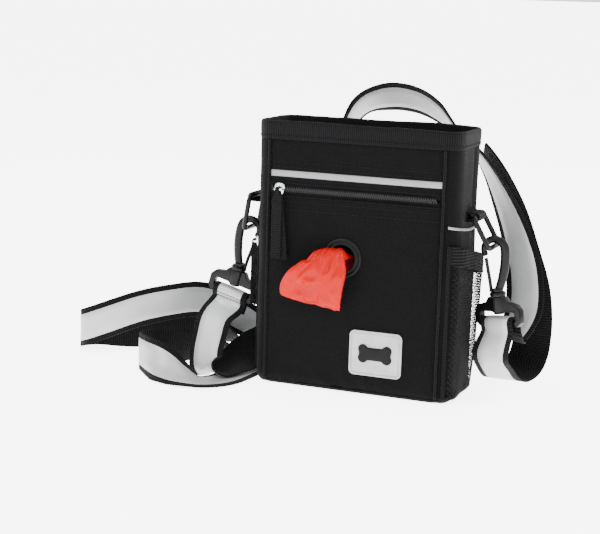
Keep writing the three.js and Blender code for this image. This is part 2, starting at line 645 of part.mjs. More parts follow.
const MAIN = [
  [52, 51, 196, 0.1, -0.88, 0.45], [38, 53, 208, 0, -0.7, 0.7], [23, 56, 215.5, 0, -0.66, 0.75],
  [6, 60, 218.5, 0, -0.66, 0.75], [-7, 62, 218, 0, -0.68, 0.73], [-24, 64, 213, 0, -0.8, 0.6],
  [-35, 65, 204, 0, -0.9, 0.4], [-43, 64, 188, 0, -1, 0.2], [-47, 62, 165, 0, -1, 0],
  [-49, 60, 135, 0, -1, 0], [-50, 59, 100, 0, -1, 0], [-50, 62, 65, 0, -1, 0],
  [-50, 68, 35, 0, -1, 0], [-53, 78, 14, -0.1, -1, 0], [-63, 88, 4, -0.1, -1, 0],
  [-80, 94, 1.8, -0.1, -1, 0], [-98, 92, 3.5, -0.1, -1, 0.15], [-114, 84, 11, -0.1, -0.8, 0.6],
  [-128, 71, 22, -0.1, -0.4, 0.9], [-143, 54, 35, 0, -0.1, 1], [-158, 40, 43, 0, 0, 1],
  [-177, 22, 42, 0, 0, 1], [-198, 8, 37, 0, 0, 1], [-223, -5, 27, 0, 0, 1],
  [-240, -8, 20, 0, 0, 1], [-248, 2, 16, 0, 0, 1], [-240, 13, 15.5, 0, 0, 1],
  [-222, 17, 15.3, 0, 0, 1], [-200, 26, 15.3, 0, 0, 1], [-175, 42, 15.3, 0, 0, 1],
  [-152, 56, 12.8, 0.35, -0.5, 0.8], [-132, 66, 6, 0.5, -0.85, 0.3], [-113, 62, 1.9, -0.3, -0.95, 0],
  [-100, 46, 1.6, -0.85, -0.5, 0], [-95, 24, 1.6, -1, -0.1, 0], [-94.5, 0, 1.6, -1, 0, 0],
  [-95, -24, 1.6, -1, 0.1, 0], [-99, -47, 1.6, -0.9, 0.45, 0], [-111, -61, 2.6, -0.45, 0.88, 0.05],
  [-128, -63, 7, 0, 0.9, 0.4], [-147, -58, 13.2, 0, 0.45, 0.89], [-163, -49, 15.3, 0, 0.1, 1],
  [-172, -39, 15.4, 0, 0, 1], [-168, -28, 15.4, 0, 0, 1], [-155, -16, 15.2, 0.1, -0.1, 1],
  [-139, 0, 13.5, 0.4, -0.4, 0.8], [-124, 20, 8.8, 0.7, -0.6, 0.35], [-110, 40, 5.5, 0.75, -0.65, 0],
  [-94, 54, 5.5, 0.5, -0.85, -0.1], [-80, 64, 8.4, 0.1, -0.9, -0.4], [-69, 65, 13.4, 0, -0.5, -0.85],
  [-60, 60, 15.5, 0, 0, -1], [-58, 52, 15.6, 0, 0, -1], [-64, 45, 15.6, 0, 0, -1],
  [-73, 41, 15.7, 0, 0, -1], [-83, 34, 16.5, -0.1, 0, -1], [-89.5, 23, 17.4, 0.1, 0.05, -0.99],
  [-92, 12.8, 17.6, 0.35, 0, -0.93],
].map(station);

// The doubled run on the right: the inner layer rises from the back of the slot, the outer
// layer drops from its front, turns under and rises beside the inner one.
const INNER_RISE = [
  [110, 16, 45.5, 0.91, -0.4, 0.05], [114, 29, 52, 0.95, -0.25, 0.12], [115, 42, 67, 0.97, -0.05, 0],
  [111, 51, 92, 0.95, -0.15, 0.05], [104, 53, 115, 0.9, -0.35, 0.1], [95, 52, 137.5, 0.8, -0.55, 0.15],
  [84, 50, 160, 0.6, -0.75, 0.2], [75, 51, 173, 0.4, -0.85, 0.3], [69, 52, 180, 0.25, -0.9, 0.35],
].map(station);

const OUTER_RUN = [
  [102.5, -6, 36, -0.95, 0.2, 0.04], [103.5, 8, 23, -0.98, 0, 0.03], [105.5, 25, 12.5, -1, -0.02, 0],
  [110, 41, 11.5, -0.98, 0.05, 0.08], [114.5, 53.5, 17, -0.97, 0.05, 0.12], [117, 60, 27, -0.97, 0, 0.1],
  [118, 62, 41, -0.97, 0, 0.05], [118, 62, 55, -0.97, 0.05, 0], [115.5, 62, 77, -0.95, 0.15, 0],
  [108, 61, 105, -0.9, 0.35, -0.1], [98, 58.5, 138, -0.8, 0.55, -0.15], [88, 54.5, 162.5, -0.6, 0.75, -0.2],
  [79.5, 55, 176.5, -0.4, 0.85, -0.3], [74, 56, 184, -0.25, 0.9, -0.35],
].map(station);

const TRI_GLIDE = { x: 61, y: 54, z: 189, width: 38, length: 17, thick: 3, tilt: 42, lean: -20 };
function makeTriGlide() {
  const { x, y, z, width, length, thick, tilt, lean } = TRI_GLIDE;
  const shape = roundedRectangle(-width / 2, width / 2, -length / 2, length / 2, 2);
  for (const centre of [-4, 4]) {
    shape.holes.push(new THREE.Path(roundedRectangle(-15.5, 15.5, centre - 2.2, centre + 2.2, 1).getPoints(3)));
  }
  const holder = new THREE.Group();
  holder.position.set(x, y, z);
  holder.rotation.x = rad(lean);
  const turned = new THREE.Group();
  turned.rotation.y = rad(tilt);
  holder.add(turned);
  root.add(holder);
  const frame = new THREE.ExtrudeGeometry(shape, { depth: thick, bevelEnabled: false, curveSegments: 3 });
  add('strap_tri_glide', frame.translate(0, 0, -thick / 2).rotateZ(Math.PI / 2), plastic, turned);
}

function makeStraps(leftBase, rightBase) {
  const leftFold = foldStations(leftBase, -32, -1);
  addStrand([...leftFold, ...LEFT_DROP], 72, [['strap_left_fold', 0.46], ['strap_left_drop', 1]]);
  addStrand(MAIN, 110, [['strap_main', 1]]);
  const rightFold = foldStations(rightBase, BASE.slotBottom - 8, -1);
  const inner = INNER_RISE.map((s) => ({ at: s.at, across: s.across.clone().negate() })).reverse();
  addStrand([...inner, ...rightFold, ...OUTER_RUN], 116, [['strap_inner_layer', 0.155],
    ['strap_inner_drop', 0.275], ['strap_right_fold', 0.53], ['strap_outer_drop', 0.68], ['strap_outer_layer', 1]]);
}

// ---------- assembly ----------
makeShell();
makeLining();
makeDivider();
makeTrim();
makeSnaps();
makeFrontZip();
makeGrommet();
makeRoll();
makeTail();
makePatch();
makeSideZip();
makePocket();
const leftBase = hang('left', LEFT);
const rightBase = hang('right', RIGHT);
makeTriGlide();
makeStraps(leftBase, rightBase);

export default root;
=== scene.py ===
"""Looks of an upright treat pouch with a clipped webbing shoulder strap."""
import math

import bmesh
import bpy
import numpy as np
from mathutils import Matrix, Vector, noise


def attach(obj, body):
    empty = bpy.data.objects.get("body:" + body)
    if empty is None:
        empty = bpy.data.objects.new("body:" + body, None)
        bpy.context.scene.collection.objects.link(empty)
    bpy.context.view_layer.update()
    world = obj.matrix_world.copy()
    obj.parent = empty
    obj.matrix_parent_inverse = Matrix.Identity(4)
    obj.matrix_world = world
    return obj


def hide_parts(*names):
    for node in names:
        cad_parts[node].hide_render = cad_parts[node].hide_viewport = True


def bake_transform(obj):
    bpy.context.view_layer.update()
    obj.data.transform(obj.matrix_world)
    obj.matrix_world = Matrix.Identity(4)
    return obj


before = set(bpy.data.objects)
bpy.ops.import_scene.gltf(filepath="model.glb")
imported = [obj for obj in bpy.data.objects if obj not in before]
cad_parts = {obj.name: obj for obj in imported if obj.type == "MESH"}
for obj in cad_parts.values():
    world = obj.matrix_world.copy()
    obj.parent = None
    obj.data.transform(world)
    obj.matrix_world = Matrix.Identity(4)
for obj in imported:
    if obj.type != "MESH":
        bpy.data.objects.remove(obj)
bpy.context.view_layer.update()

MM = 0.001
HALF_DEPTH = 0.031
HALF_WIDTH = 0.079
SEAM_X = 0.068
CORNER_Y = 0.018
ZIP_Z = 0.1515
WALL_FOOT = 0.0005
WALL_TOP = 0.190
POCKET_SEAMS = (0.1425, 0.1364)
STRIP_SEAMS = (0.168, 0.172)
RIM_FOOT = 0.1885
GROMMET = Vector((-0.007, -0.031, 0.1035))
GROMMET_HOLE = 0.0118
STRIP_FOOT = 0.1608
STRIP_HEIGHT = 0.0049
MAGNET_Y = 0.0282
MAGNET_Z = 0.178
RING_DROP = 0.025
RING_HALF = 0.014
RING_CORNER = 0.0035
BASE_DROP = 0.0374
ROLL_CENTRE = Vector((-0.007, -0.0125, 0.0882))
FRONT_SLIDER = Vector((-0.059, -0.0317, ZIP_Z))
SIDE_SLIDER = Vector((-0.0819, -0.014, 0.107))
THREAD = 0.00045
PANEL = 1.1 * MM
FORWARD = Vector((0, -1, 0))

CAMERA_AT = (0.366, -1.051, 0.297)
CAMERA_YAW, CAMERA_PITCH, CAMERA_ROLL = 21.77, 10.51, 1.69
CAMERA_LENS = 88.86
FLOOR_REACH = 300
FLOOR_GLOW = 5.0
SKY_GLOW = 1.7


# ---------- camera ----------
def make_camera():
    yaw, pitch, roll = (math.radians(a) for a in (CAMERA_YAW, CAMERA_PITCH, CAMERA_ROLL))
    forward = Vector((-math.sin(yaw) * math.cos(pitch), math.cos(yaw) * math.cos(pitch), -math.sin(pitch)))
    side = forward.cross(Vector((0, 0, 1))).normalized()
    up = side.cross(forward)
    right = side * math.cos(roll) + up * math.sin(roll)
    above = up * math.cos(roll) - side * math.sin(roll)
    camera = bpy.data.objects.new("camera", bpy.data.cameras.new("camera"))
    bpy.context.scene.collection.objects.link(camera)
    turn = Matrix((right, above, -forward)).transposed()
    camera.matrix_world = Matrix.Translation(CAMERA_AT) @ turn.to_4x4()
    camera.data.sensor_width = 36
    camera.data.lens = CAMERA_LENS
    camera.data.clip_start = 0.01
    bpy.context.scene.camera = camera


make_camera()


# ---------- materials ----------
class Paint:
    """One procedural material under construction."""

    def __init__(self, name, color, roughness, metallic=0.0, specular=0.5):
        self.material = bpy.data.materials.new(name)
        self.material.use_nodes = True
        self.nodes = self.material.node_tree.nodes
        self.links = self.material.node_tree.links
        self.shader = self.nodes["Principled BSDF"]
        self.color = color
        self.height = None
        self.set({"Base Color": (*color, 1), "Roughness": roughness, "Metallic": metallic,
                  "Specular IOR Level": specular})

    def set(self, values, node=None):
        """Sets inputs by name, of the shader unless another node is given."""
        for key, value in values.items():
            (node or self.shader).inputs[key].default_value = value

    def node(self, kind, **values):
        made = self.nodes.new(kind)
        for key, value in values.items():
            if key in made.inputs:
                made.inputs[key].default_value = value
            else:
                setattr(made, key, value)
        return made

    def link(self, source, target):
        self.links.new(source, target)

    def coords(self, scale=(1, 1, 1), space="UV"):
        where = self.node("ShaderNodeTexCoord")
        mapping = self.node("ShaderNodeMapping")
        mapping.inputs["Scale"].default_value = scale
        self.link(where.outputs[space], mapping.inputs["Vector"])
        return mapping.outputs["Vector"]

    def wave(self, period, axis, space="UV"):
        scale = 0.314 / period
        made = self.node("ShaderNodeTexWave", Scale=scale, bands_direction=axis)
        self.link(self.coords(space=space), made.inputs["Vector"])
        return made.outputs["Fac"]

    def noise(self, size, detail=2.0, space="Object"):
        made = self.node("ShaderNodeTexNoise", Scale=1 / size, Detail=detail)
        self.link(self.coords(space=space), made.inputs["Vector"])
        return made.outputs["Fac"]

    def math(self, operation, first, second):
        made = self.node("ShaderNodeMath", operation=operation)
        for socket, value in zip(made.inputs, (first, second)):
            if isinstance(value, (int, float)):
                socket.default_value = value
            else:
                self.link(value, socket)
        return made.outputs[0]

    def span(self, factor, low, high):
        """A factor from 0 to 1 taken to low to high."""
        ramp = self.node("ShaderNodeMapRange")
        self.set({"To Min": low, "To Max": high}, ramp)
        self.link(factor, ramp.inputs["Value"])
        return ramp.outputs[0]

    def vary(self, factor, low, high):
        """Scales the base colour from low to high times itself along a factor."""
        scale = self.span(factor, low, high)
        mix = self.node("ShaderNodeVectorMath", operation="SCALE")
        source = self.shader.inputs["Base Color"]
        if source.is_linked:
            self.link(source.links[0].from_socket, mix.inputs[0])
        else:
            mix.inputs[0].default_value = self.color
        self.link(scale, mix.inputs["Scale"])
        self.link(mix.outputs[0], source)

    def rough(self, factor, low, high):
        self.link(self.span(factor, low, high), self.shader.inputs["Roughness"])

    def bump(self, factor, depth, strength=1.0):
        made = self.node("ShaderNodeBump", Strength=strength, Distance=depth)
        self.link(factor, made.inputs["Height"])
        if self.height:
            self.link(self.height, made.inputs["Normal"])
        self.height = made.outputs["Normal"]
        self.link(self.height, self.shader.inputs["Normal"])

    def sheen(self, weight, roughness=0.5):
        self.set({"Sheen Weight": weight, "Sheen Roughness": roughness})


def plain_weave(name, color, period=1.1 * MM, depth=0.25 * MM, sheen=0.03):
    paint = Paint(name, color, 0.85, specular=0.03)
    warp, weft = paint.wave(period, "X"), paint.wave(period, "Y")
    cloth = paint.math("MAXIMUM", warp, weft)
    slub = paint.noise(1.6 * MM, 3)
    paint.vary(paint.math("MULTIPLY", cloth, slub), 0.45, 2.4)
    paint.vary(paint.noise(22 * MM, 3), 0.75, 1.3)
    paint.rough(slub, 0.72, 0.95)
    paint.bump(paint.noise(9 * MM, 4), 0.5 * MM, 0.5)
    paint.bump(cloth, depth, 0.8)
    paint.sheen(sheen)
    return paint.material


def ribbed(name, color, period, axis="Y", depth=0.35 * MM, high=2.6, sheen=0.03):
    """Grosgrain or webbing: bold ribs one way and a fine thread the other."""
    paint = Paint(name, color, 0.8, specular=0.04)
    rib = paint.wave(period, axis)
    thread = paint.wave(period * 0.55, "X" if axis == "Y" else "Y")
    paint.vary(rib, 0.35, high)
    paint.vary(paint.noise(1.3 * MM, 2), 0.7, 1.35)
    paint.bump(thread, depth * 0.4, 0.6)
    paint.bump(rib, depth, 0.9)
    paint.sheen(sheen)
    return paint.material


def reflective_tape(name, color):
    """Glass-bead tape: a fine honeycomb under a soft metallic lustre with a fine speckle of painted sparkle,
    a little scuffed.
    """
    paint = Paint(name, color, 0.42, metallic=0.35)
    cells = paint.node("ShaderNodeTexVoronoi", Scale=1 / (1.1 * MM), feature="DISTANCE_TO_EDGE")
    paint.link(paint.coords(), cells.inputs["Vector"])
    edge = cells.outputs["Distance"]
    paint.vary(edge, 0.9, 1.1)
    # fine speckle: painted sparkle, light glinting off the glass beads put into the colour
    paint.vary(paint.noise(0.35 * MM, 1), 0.72, 1.25)
    paint.vary(paint.noise(14 * MM, 4), 0.9, 1.08)
    paint.rough(paint.noise(6 * MM, 4), 0.34, 0.58)
    paint.bump(edge, 0.05 * MM, 0.4)
    paint.bump(paint.noise(7 * MM, 3), 0.5 * MM, 0.35)
    return paint.material


def moulded(name, color, roughness, grain=0.7 * MM):
    paint = Paint(name, color, roughness, specular=0.12)
    paint.vary(paint.noise(12 * MM, 3), 0.8, 1.3)
    paint.rough(paint.noise(3 * MM, 3), roughness - 0.08, roughness + 0.12)
    paint.bump(paint.noise(grain, 2), 0.04 * MM, 0.5)
    return paint.material


def metal(name, color, roughness):
    paint = Paint(name, color, roughness, metallic=0.95)
    paint.vary(paint.noise(2.5 * MM, 3), 0.86, 1.05)
    paint.rough(paint.noise(1.5 * MM, 4), roughness - 0.05, roughness + 0.18)
    paint.bump(paint.noise(0.8 * MM, 2), 0.03 * MM, 0.3)
    return paint.material


def bag_film(name, color):
    """Thin salmon film, glossy, letting a little light through its folds."""
    paint = Paint(name, color, 0.22, specular=0.07)
    paint.vary(paint.noise(16 * MM, 3), 0.82, 1.12)
    paint.rough(paint.noise(5 * MM, 3), 0.14, 0.38)
    paint.bump(paint.noise(4.5 * MM, 3), 0.9 * MM, 0.5)
    paint.bump(paint.noise(1.4 * MM, 2), 0.2 * MM, 0.3)
    paint.set({"Subsurface Weight": 0.12, "Subsurface Radius": (0.012, 0.004, 0.003),
               "Subsurface Scale": 0.3, "Coat Weight": 0.015, "Coat Roughness": 0.15})
    return paint.material


def card_board(name):
    paint = Paint(name, (0.42, 0.3, 0.18), 0.9)
    paint.vary(paint.noise(2 * MM, 5), 0.7, 1.2)
    paint.vary(paint.wave(9 * MM, "X", "Object"), 0.85, 1.05)
    paint.bump(paint.noise(0.8 * MM, 3), 0.1 * MM, 0.6)
    return paint.material


CLOTH = plain_weave("shell_cloth", (0.0016, 0.0016, 0.0018))
LINING = plain_weave("lining_cloth", (0.03, 0.03, 0.033), 0.7 * MM, 0.1 * MM)
BINDING = ribbed("rim_grosgrain", (0.002, 0.002, 0.0022), 1.5 * MM)
ELASTIC = ribbed("band_elastic", (0.0024, 0.0024, 0.0026), 2.3 * MM, "Y", 0.7 * MM)
WEBBING = ribbed("strap_webbing", (0.0018, 0.0018, 0.002), 1.8 * MM, "Y", 0.55 * MM)
PULL_WEB = ribbed("puller_webbing", (0.002, 0.002, 0.0022), 1.3 * MM)
REFLECT = reflective_tape("reflective_tape", (0.33, 0.333, 0.338))
# the same reflective tape as the straps, darkened as painted shade for the front strip and side trim
REFLECT_PAINTED_SHADE = reflective_tape("reflective_strip", (0.17, 0.171, 0.174))
TAPE = ribbed("zip_tape", (0.0018, 0.0018, 0.002), 0.9 * MM, "X", 0.15 * MM, 2.0)
# black nylon coil with its albedo raised well above the other blacks as painted highlight on the teeth
NYLON_PAINTED_HIGHLIGHT = moulded("zip_coil_nylon_painted_highlight", (0.014, 0.014, 0.015), 0.42)
PLASTIC = moulded("strap_hardware", (0.002, 0.002, 0.0022), 0.34)
RUBBER = moulded("grommet_rubber", (0.0018, 0.0018, 0.002), 0.55)
PATCH = moulded("patch_rubber", (0.28, 0.285, 0.28), 0.6)
EMBLEM = moulded("emblem_rubber", (0.0006, 0.0006, 0.0007), 0.55)
CHROME = metal("slider_nickel", (0.78, 0.79, 0.8), 0.2)
MAGNET = metal("magnet_steel", (0.5, 0.5, 0.51), 0.3)
FILM = bag_film("bag_film", (0.3, 0.001, 0.0004))
CARD = card_board("card_tube")
STITCH = ribbed("sewing_thread", (0.0025, 0.0025, 0.0028), 0.4 * MM, "Y", 0.05 * MM)
NET = moulded("mesh_yarn", (0.0022, 0.0022, 0.0024), 0.5)


# ---------- mesh helpers ----------
def make(name, verts, faces, materials, uvs=None, indices=None, sharp=40):
    """One mesh object. uvs gives a coordinate for each vertex of each face, in metres."""
    mesh = bpy.data.meshes.new(name)
    mesh.from_pydata([tuple(v) for v in verts], [], [tuple(f) for f in faces])
    for material in materials if isinstance(materials, list) else [materials]:
        mesh.materials.append(material)
    if uvs is not None:
        layer = mesh.uv_layers.new(name="UVMap")
        layer.data.foreach_set("uv", np.array([c for face in uvs for c in face], np.float32).ravel())
    if indices is not None:
        mesh.polygons.foreach_set("material_index", indices)
    mesh.update()
    mesh.shade_smooth()
    mesh.set_sharp_from_angle(angle=math.radians(sharp))
    made = bpy.data.objects.new(name, mesh)
    bpy.context.scene.collection.objects.link(made)
    return made


def grid(columns, rows, place, keep=None):
    """A sheet of quads: place(s, t) gives a point and its uv for s and t from 0 to 1."""
    verts, coords = [], []
    for i in range(columns + 1):
        for j in range(rows + 1):
            point, uv = place(i / columns, j / rows)
            verts.append(point)
            coords.append(uv)
    faces = []
    for i in range(columns):
        for j in range(rows):
            a = i * (rows + 1) + j
            face = (a, a + rows + 1, a + rows + 2, a + 1)
            if keep is None or keep(sum((Vector(verts[k]) for k in face), Vector()) / 4):
                faces.append(face)
    return verts, faces, [[coords[k] for k in face] for face in faces]


def cloth(name, columns, rows, place, material, thick=1.0 * MM, keep=None, outward=None):
    """A sewn panel: a sheet thickened inwards from its outer face."""
    verts, faces, uvs = grid(columns, rows, place, keep)
    if outward is not None:
        a, b, c = (Vector(verts[k]) for k in faces[len(faces) // 2][:3])
        if (b - a).cross(c - b).dot(outward) < 0:
            faces = [face[::-1] for face in faces]
            uvs = [face[::-1] for face in uvs]
    made = make(name, verts, faces, material, uvs)
    solid = made.modifiers.new("thickness", "SOLIDIFY")
    solid.thickness = thick
    solid.offset = -1
    return made


def sweep(name, rings, materials, loop=False, pick=None, sharp=40):
    """A closed skin over rings of section points. uv is (along the section, along the run)."""
    rings = [[Vector(p) for p in ring] for ring in rings]
    count, sides = len(rings), len(rings[0])
    run = [0.0]
    for a, b in zip(rings, rings[1:] + rings[:1]):
        run.append(run[-1] + sum((p - q).length for p, q in zip(a, b)) / sides)
    around = [0.0]
    for j in range(sides):
        around.append(around[-1] + (rings[0][(j + 1) % sides] - rings[0][j]).length)
    verts = [p for ring in rings for p in ring]
    faces, uvs, indices = [], [], []
    for i in range(count if loop else count - 1):
        nxt = (i + 1) % count
        for j in range(sides):
            k = (j + 1) % sides
            faces.append((i * sides + j, i * sides + k, nxt * sides + k, nxt * sides + j))
            uvs.append([(around[j], run[i]), (around[j + 1], run[i]),
                        (around[j + 1], run[i + 1]), (around[j], run[i + 1])])
            indices.append(pick(i, j) if pick else 0)
    if not loop:
        for start, order in ((0, range(sides - 1, -1, -1)), ((count - 1) * sides, range(sides))):
            faces.append(tuple(start + j for j in order))
            uvs.append([(around[j], 0) for j in order])
            indices.append(0)
    made = make(name, verts, faces, materials, uvs, indices, sharp)
    face_out(made)
    return made


def face_out(made):
    """Turns every face outwards if the closed mesh is inside out."""
    mesh = made.data
    volume = 0.0
    for face in mesh.polygons:
        corners = [mesh.vertices[k].co for k in face.vertices]
        for b, c in zip(corners[1:], corners[2:]):
            volume += corners[0].dot(b.cross(c))
    if volume < 0:
        mesh.flip_normals()


def tube_rings(points, radii, sides=16, loop=False, upward=(0, 1, 0)):
    """Oval rings along points; radii are (across, along upward)."""
    points = [Vector(p) for p in points]
    count = len(points)
    rings = []
    for i, point in enumerate(points):
        before = points[(i - 1) % count if loop else max(i - 1, 0)]
        after = points[(i + 1) % count if loop else min(i + 1, count - 1)]
        along = (after - before).normalized()
        up = Vector(upward)
        up = (up - along * up.dot(along)).normalized()
        side = along.cross(up)
        wide, tall = radii[i] if hasattr(radii[i], "__len__") else (radii[i], radii[i])
        rings.append([point + side * (wide * math.cos(turn)) + up * (tall * math.sin(turn))
                      for turn in (2 * math.pi * j / sides for j in range(sides))])
    return rings


def tube(name, points, radius, material, sides=10, upward=(0, 1, 0), loop=False):
    """A bar or cord of one section along points; radius is a number or (across, along upward)."""
    return sweep(name, tube_rings(points, [radius] * len(points), sides, loop, upward), material, loop)


def smooth(values, count, loop=False):
    """count points along a Catmull-Rom curve through rows of numbers, evenly by parameter."""
    rows = [np.array(v, float) for v in values]
    total = len(rows) if loop else len(rows) - 1
    steps = count if loop else count - 1
    out = []
    for k in range(count):
        t = total * k / steps
        i = min(int(t), total - 1)
        out.append(centripetal(rows, i, t - i, loop))
    return out


def centripetal(rows, i, w, loop):
    """The centripetal curve through rows, in segment i at share w."""
    n = len(rows)
    p1, p2 = rows[i % n], rows[(i + 1) % n]
    p0 = rows[(i - 1) % n] if i > 0 or loop else 2 * p1 - p2
    p3 = rows[(i + 2) % n] if i + 2 < n or loop else 2 * p2 - p1
    d0, d1, d2 = (max(np.linalg.norm(b - a) ** 0.5, 1e-6) for a, b in ((p0, p1), (p1, p2), (p2, p3)))
    m1 = ((p1 - p0) / d0 - (p2 - p0) / (d0 + d1) + (p2 - p1) / d1) * d1
    m2 = ((p2 - p1) / d1 - (p3 - p1) / (d1 + d2) + (p3 - p2) / d2) * d1
    return (p1 + m1 * w + (3 * (p2 - p1) - 2 * m1 - m2) * w * w
            + (2 * (p1 - p2) + m1 + m2) * w * w * w)


def neighbours(rows, k):
    """The rows before and after row k; at an end, row k itself."""
    return rows[max(k - 1, 0)], rows[min(k + 1, len(rows) - 1)]


def lathe(name, profile, centre, axis, material, sides=64):
    """A closed ring or disc turned about an axis; profile rows are (radius, along) in mm."""
    axis = Vector(axis).normalized()
    first = axis.orthogonal().normalized()
    second = axis.cross(first)
    rings = []
    for j in range(sides):
        turn = 2 * math.pi * j / sides
        spoke = first * math.cos(turn) + second * math.sin(turn)
        rings.append([Vector(centre) + spoke * (r * MM) + axis * (a * MM) for r, a in profile])
    return sweep(name, rings, material, loop=True)


def join(name, pieces):
    """Joins pieces that ride together into one object; they keep their materials."""
    with bpy.context.temp_override(active_object=pieces[0], selected_editable_objects=pieces,
                                   selected_objects=pieces, object=pieces[0]):
        bpy.ops.object.join()
    pieces[0].name = name
    pieces[0].data.name = name
    return pieces[0]


def settle(made):
    """Applies the modifiers of a piece to its mesh."""
    graph = bpy.context.evaluated_depsgraph_get()
    mesh = bpy.data.meshes.new_from_object(made.evaluated_get(graph))
    made.modifiers.clear()
    made.data = mesh
    return made


def dress(made, body, slot, *nodes):
    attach(made, body)
    if nodes:
        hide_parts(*nodes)
    return made


def ripple(point, size, depth, seed=0):
    """A soft repeatable unevenness at a point."""
    return depth * noise.noise(Vector(point) / size + Vector((seed * 7.3, seed * 3.1, seed)))


def distances(points):
    """How far along a run of points each of them is."""
    run = [0.0]
    for a, b in zip(points, points[1:]):
        run.append(run[-1] + (b - a).length)
    return run


def share_of(run, at):
    """The segment that a distance falls in, and how much of that segment is behind it."""
    i = max(k for k in range(len(run) - 1) if run[k] <= at)
    return i, (at - run[i]) / max(run[i + 1] - run[i], 1e-9)


def add_bar(verts, faces, rings):
    """Adds rings of points to a mesh under construction, as one closed bar."""
    base, sides = len(verts), len(rings[0])
    verts += [p for ring in rings for p in ring]
    for i in range(len(rings) - 1):
        for j in range(sides):
            a, b = base + sides * i + j, base + sides * i + (j + 1) % sides
            faces.append((a, b, b + sides, a + sides))
    faces.append(tuple(base + j for j in range(sides - 1, -1, -1)))
    faces.append(tuple(base + sides * (len(rings) - 1) + j for j in range(sides)))


def stitches(name, points, normals, length=2.6 * MM, gap=1.0 * MM):
    """A row of thread stitches lying on a surface along points."""
    points = [Vector(p) for p in points]
    run = distances(points)
    verts, faces = [], []
    at = gap
    while at + length < run[-1]:
        rings = []
        for share in (0, 0.2, 0.8, 1):
            i, w = share_of(run, at + share * length)
            centre = points[i].lerp(points[i + 1], w)
            along = (points[i + 1] - points[i]).normalized()
            out = Vector(normals[i] if isinstance(normals, list) else normals).normalized()
            side = along.cross(out)
            lift = THREAD * (0.45 if 0 < share < 1 else -0.5)
            ring = []
            for turn in (0, 60, 120, 180, 240, 300):
                c, s = math.cos(math.radians(turn)), math.sin(math.radians(turn))
                ring.append(centre + side * (c * THREAD * 0.6) + out * (s * THREAD * 0.55 + lift))
            rings.append(ring)
        add_bar(verts, faces, rings)
        at += length + gap
    uvs = [[(verts[k].x, verts[k].z) for k in face] for face in faces]
    made = make(name, verts, faces, STITCH, uvs)
    face_out(made)
    return made


# ---------- strap hardware frames ----------
class Place:
    """Where one side's ring, hook and swivel base hang, as nested frames."""

    def __init__(self, x, y, z, ring_tilt, hook_tilt, twist, out):
        self.out = out
        self.at = Vector((x, y, z))
        turn = [math.radians(-out * a) for a in (ring_tilt, hook_tilt - ring_tilt)]
        self.ring = Matrix.Translation(self.at) @ Matrix.Rotation(turn[0], 4, "Y")
        down = Matrix.Translation((0, 0, -RING_DROP))
        self.hook = self.ring @ down @ Matrix.Rotation(turn[1], 4, "Y")
        twisted = Matrix.Rotation(math.radians(twist), 4, "Z")
        self.base = self.hook @ Matrix.Translation((0, 0, -BASE_DROP)) @ twisted


LEFT = Place(-0.090, -0.004, 0.141, 9, 16, 0, -1)
RIGHT = Place(0.087, -0.001, 0.139, 30, 8, -24, 1)

# ---------- straps ----------
WEB_WIDTH = 0.030
# Each station is a centre and a width direction along the route.
LEFT_DROP = [
    (-0.118, -0.016, 0.044, -0.97, 0.1, 0.18), (-0.1185, -0.025, 0.03, -0.97, 0.14, 0.1),
    (-0.1175, -0.033, 0.0165, -0.97, 0.2, 0.06), (-0.1135, -0.038, 0.0078, -0.96, 0.25, 0.03),
    (-0.107, -0.0355, 0.005, -0.96, 0.27, 0.02), (-0.102, -0.026, 0.007, -0.93, 0.28, 0.12),
    (-0.098, -0.013, 0.0112, -0.8, 0.22, 0.5), (-0.0945, -0.001, 0.0152, -0.6, 0.1, 0.8),
    (-0.092, 0.009, 0.0176, -0.35, 0, 0.93),
]

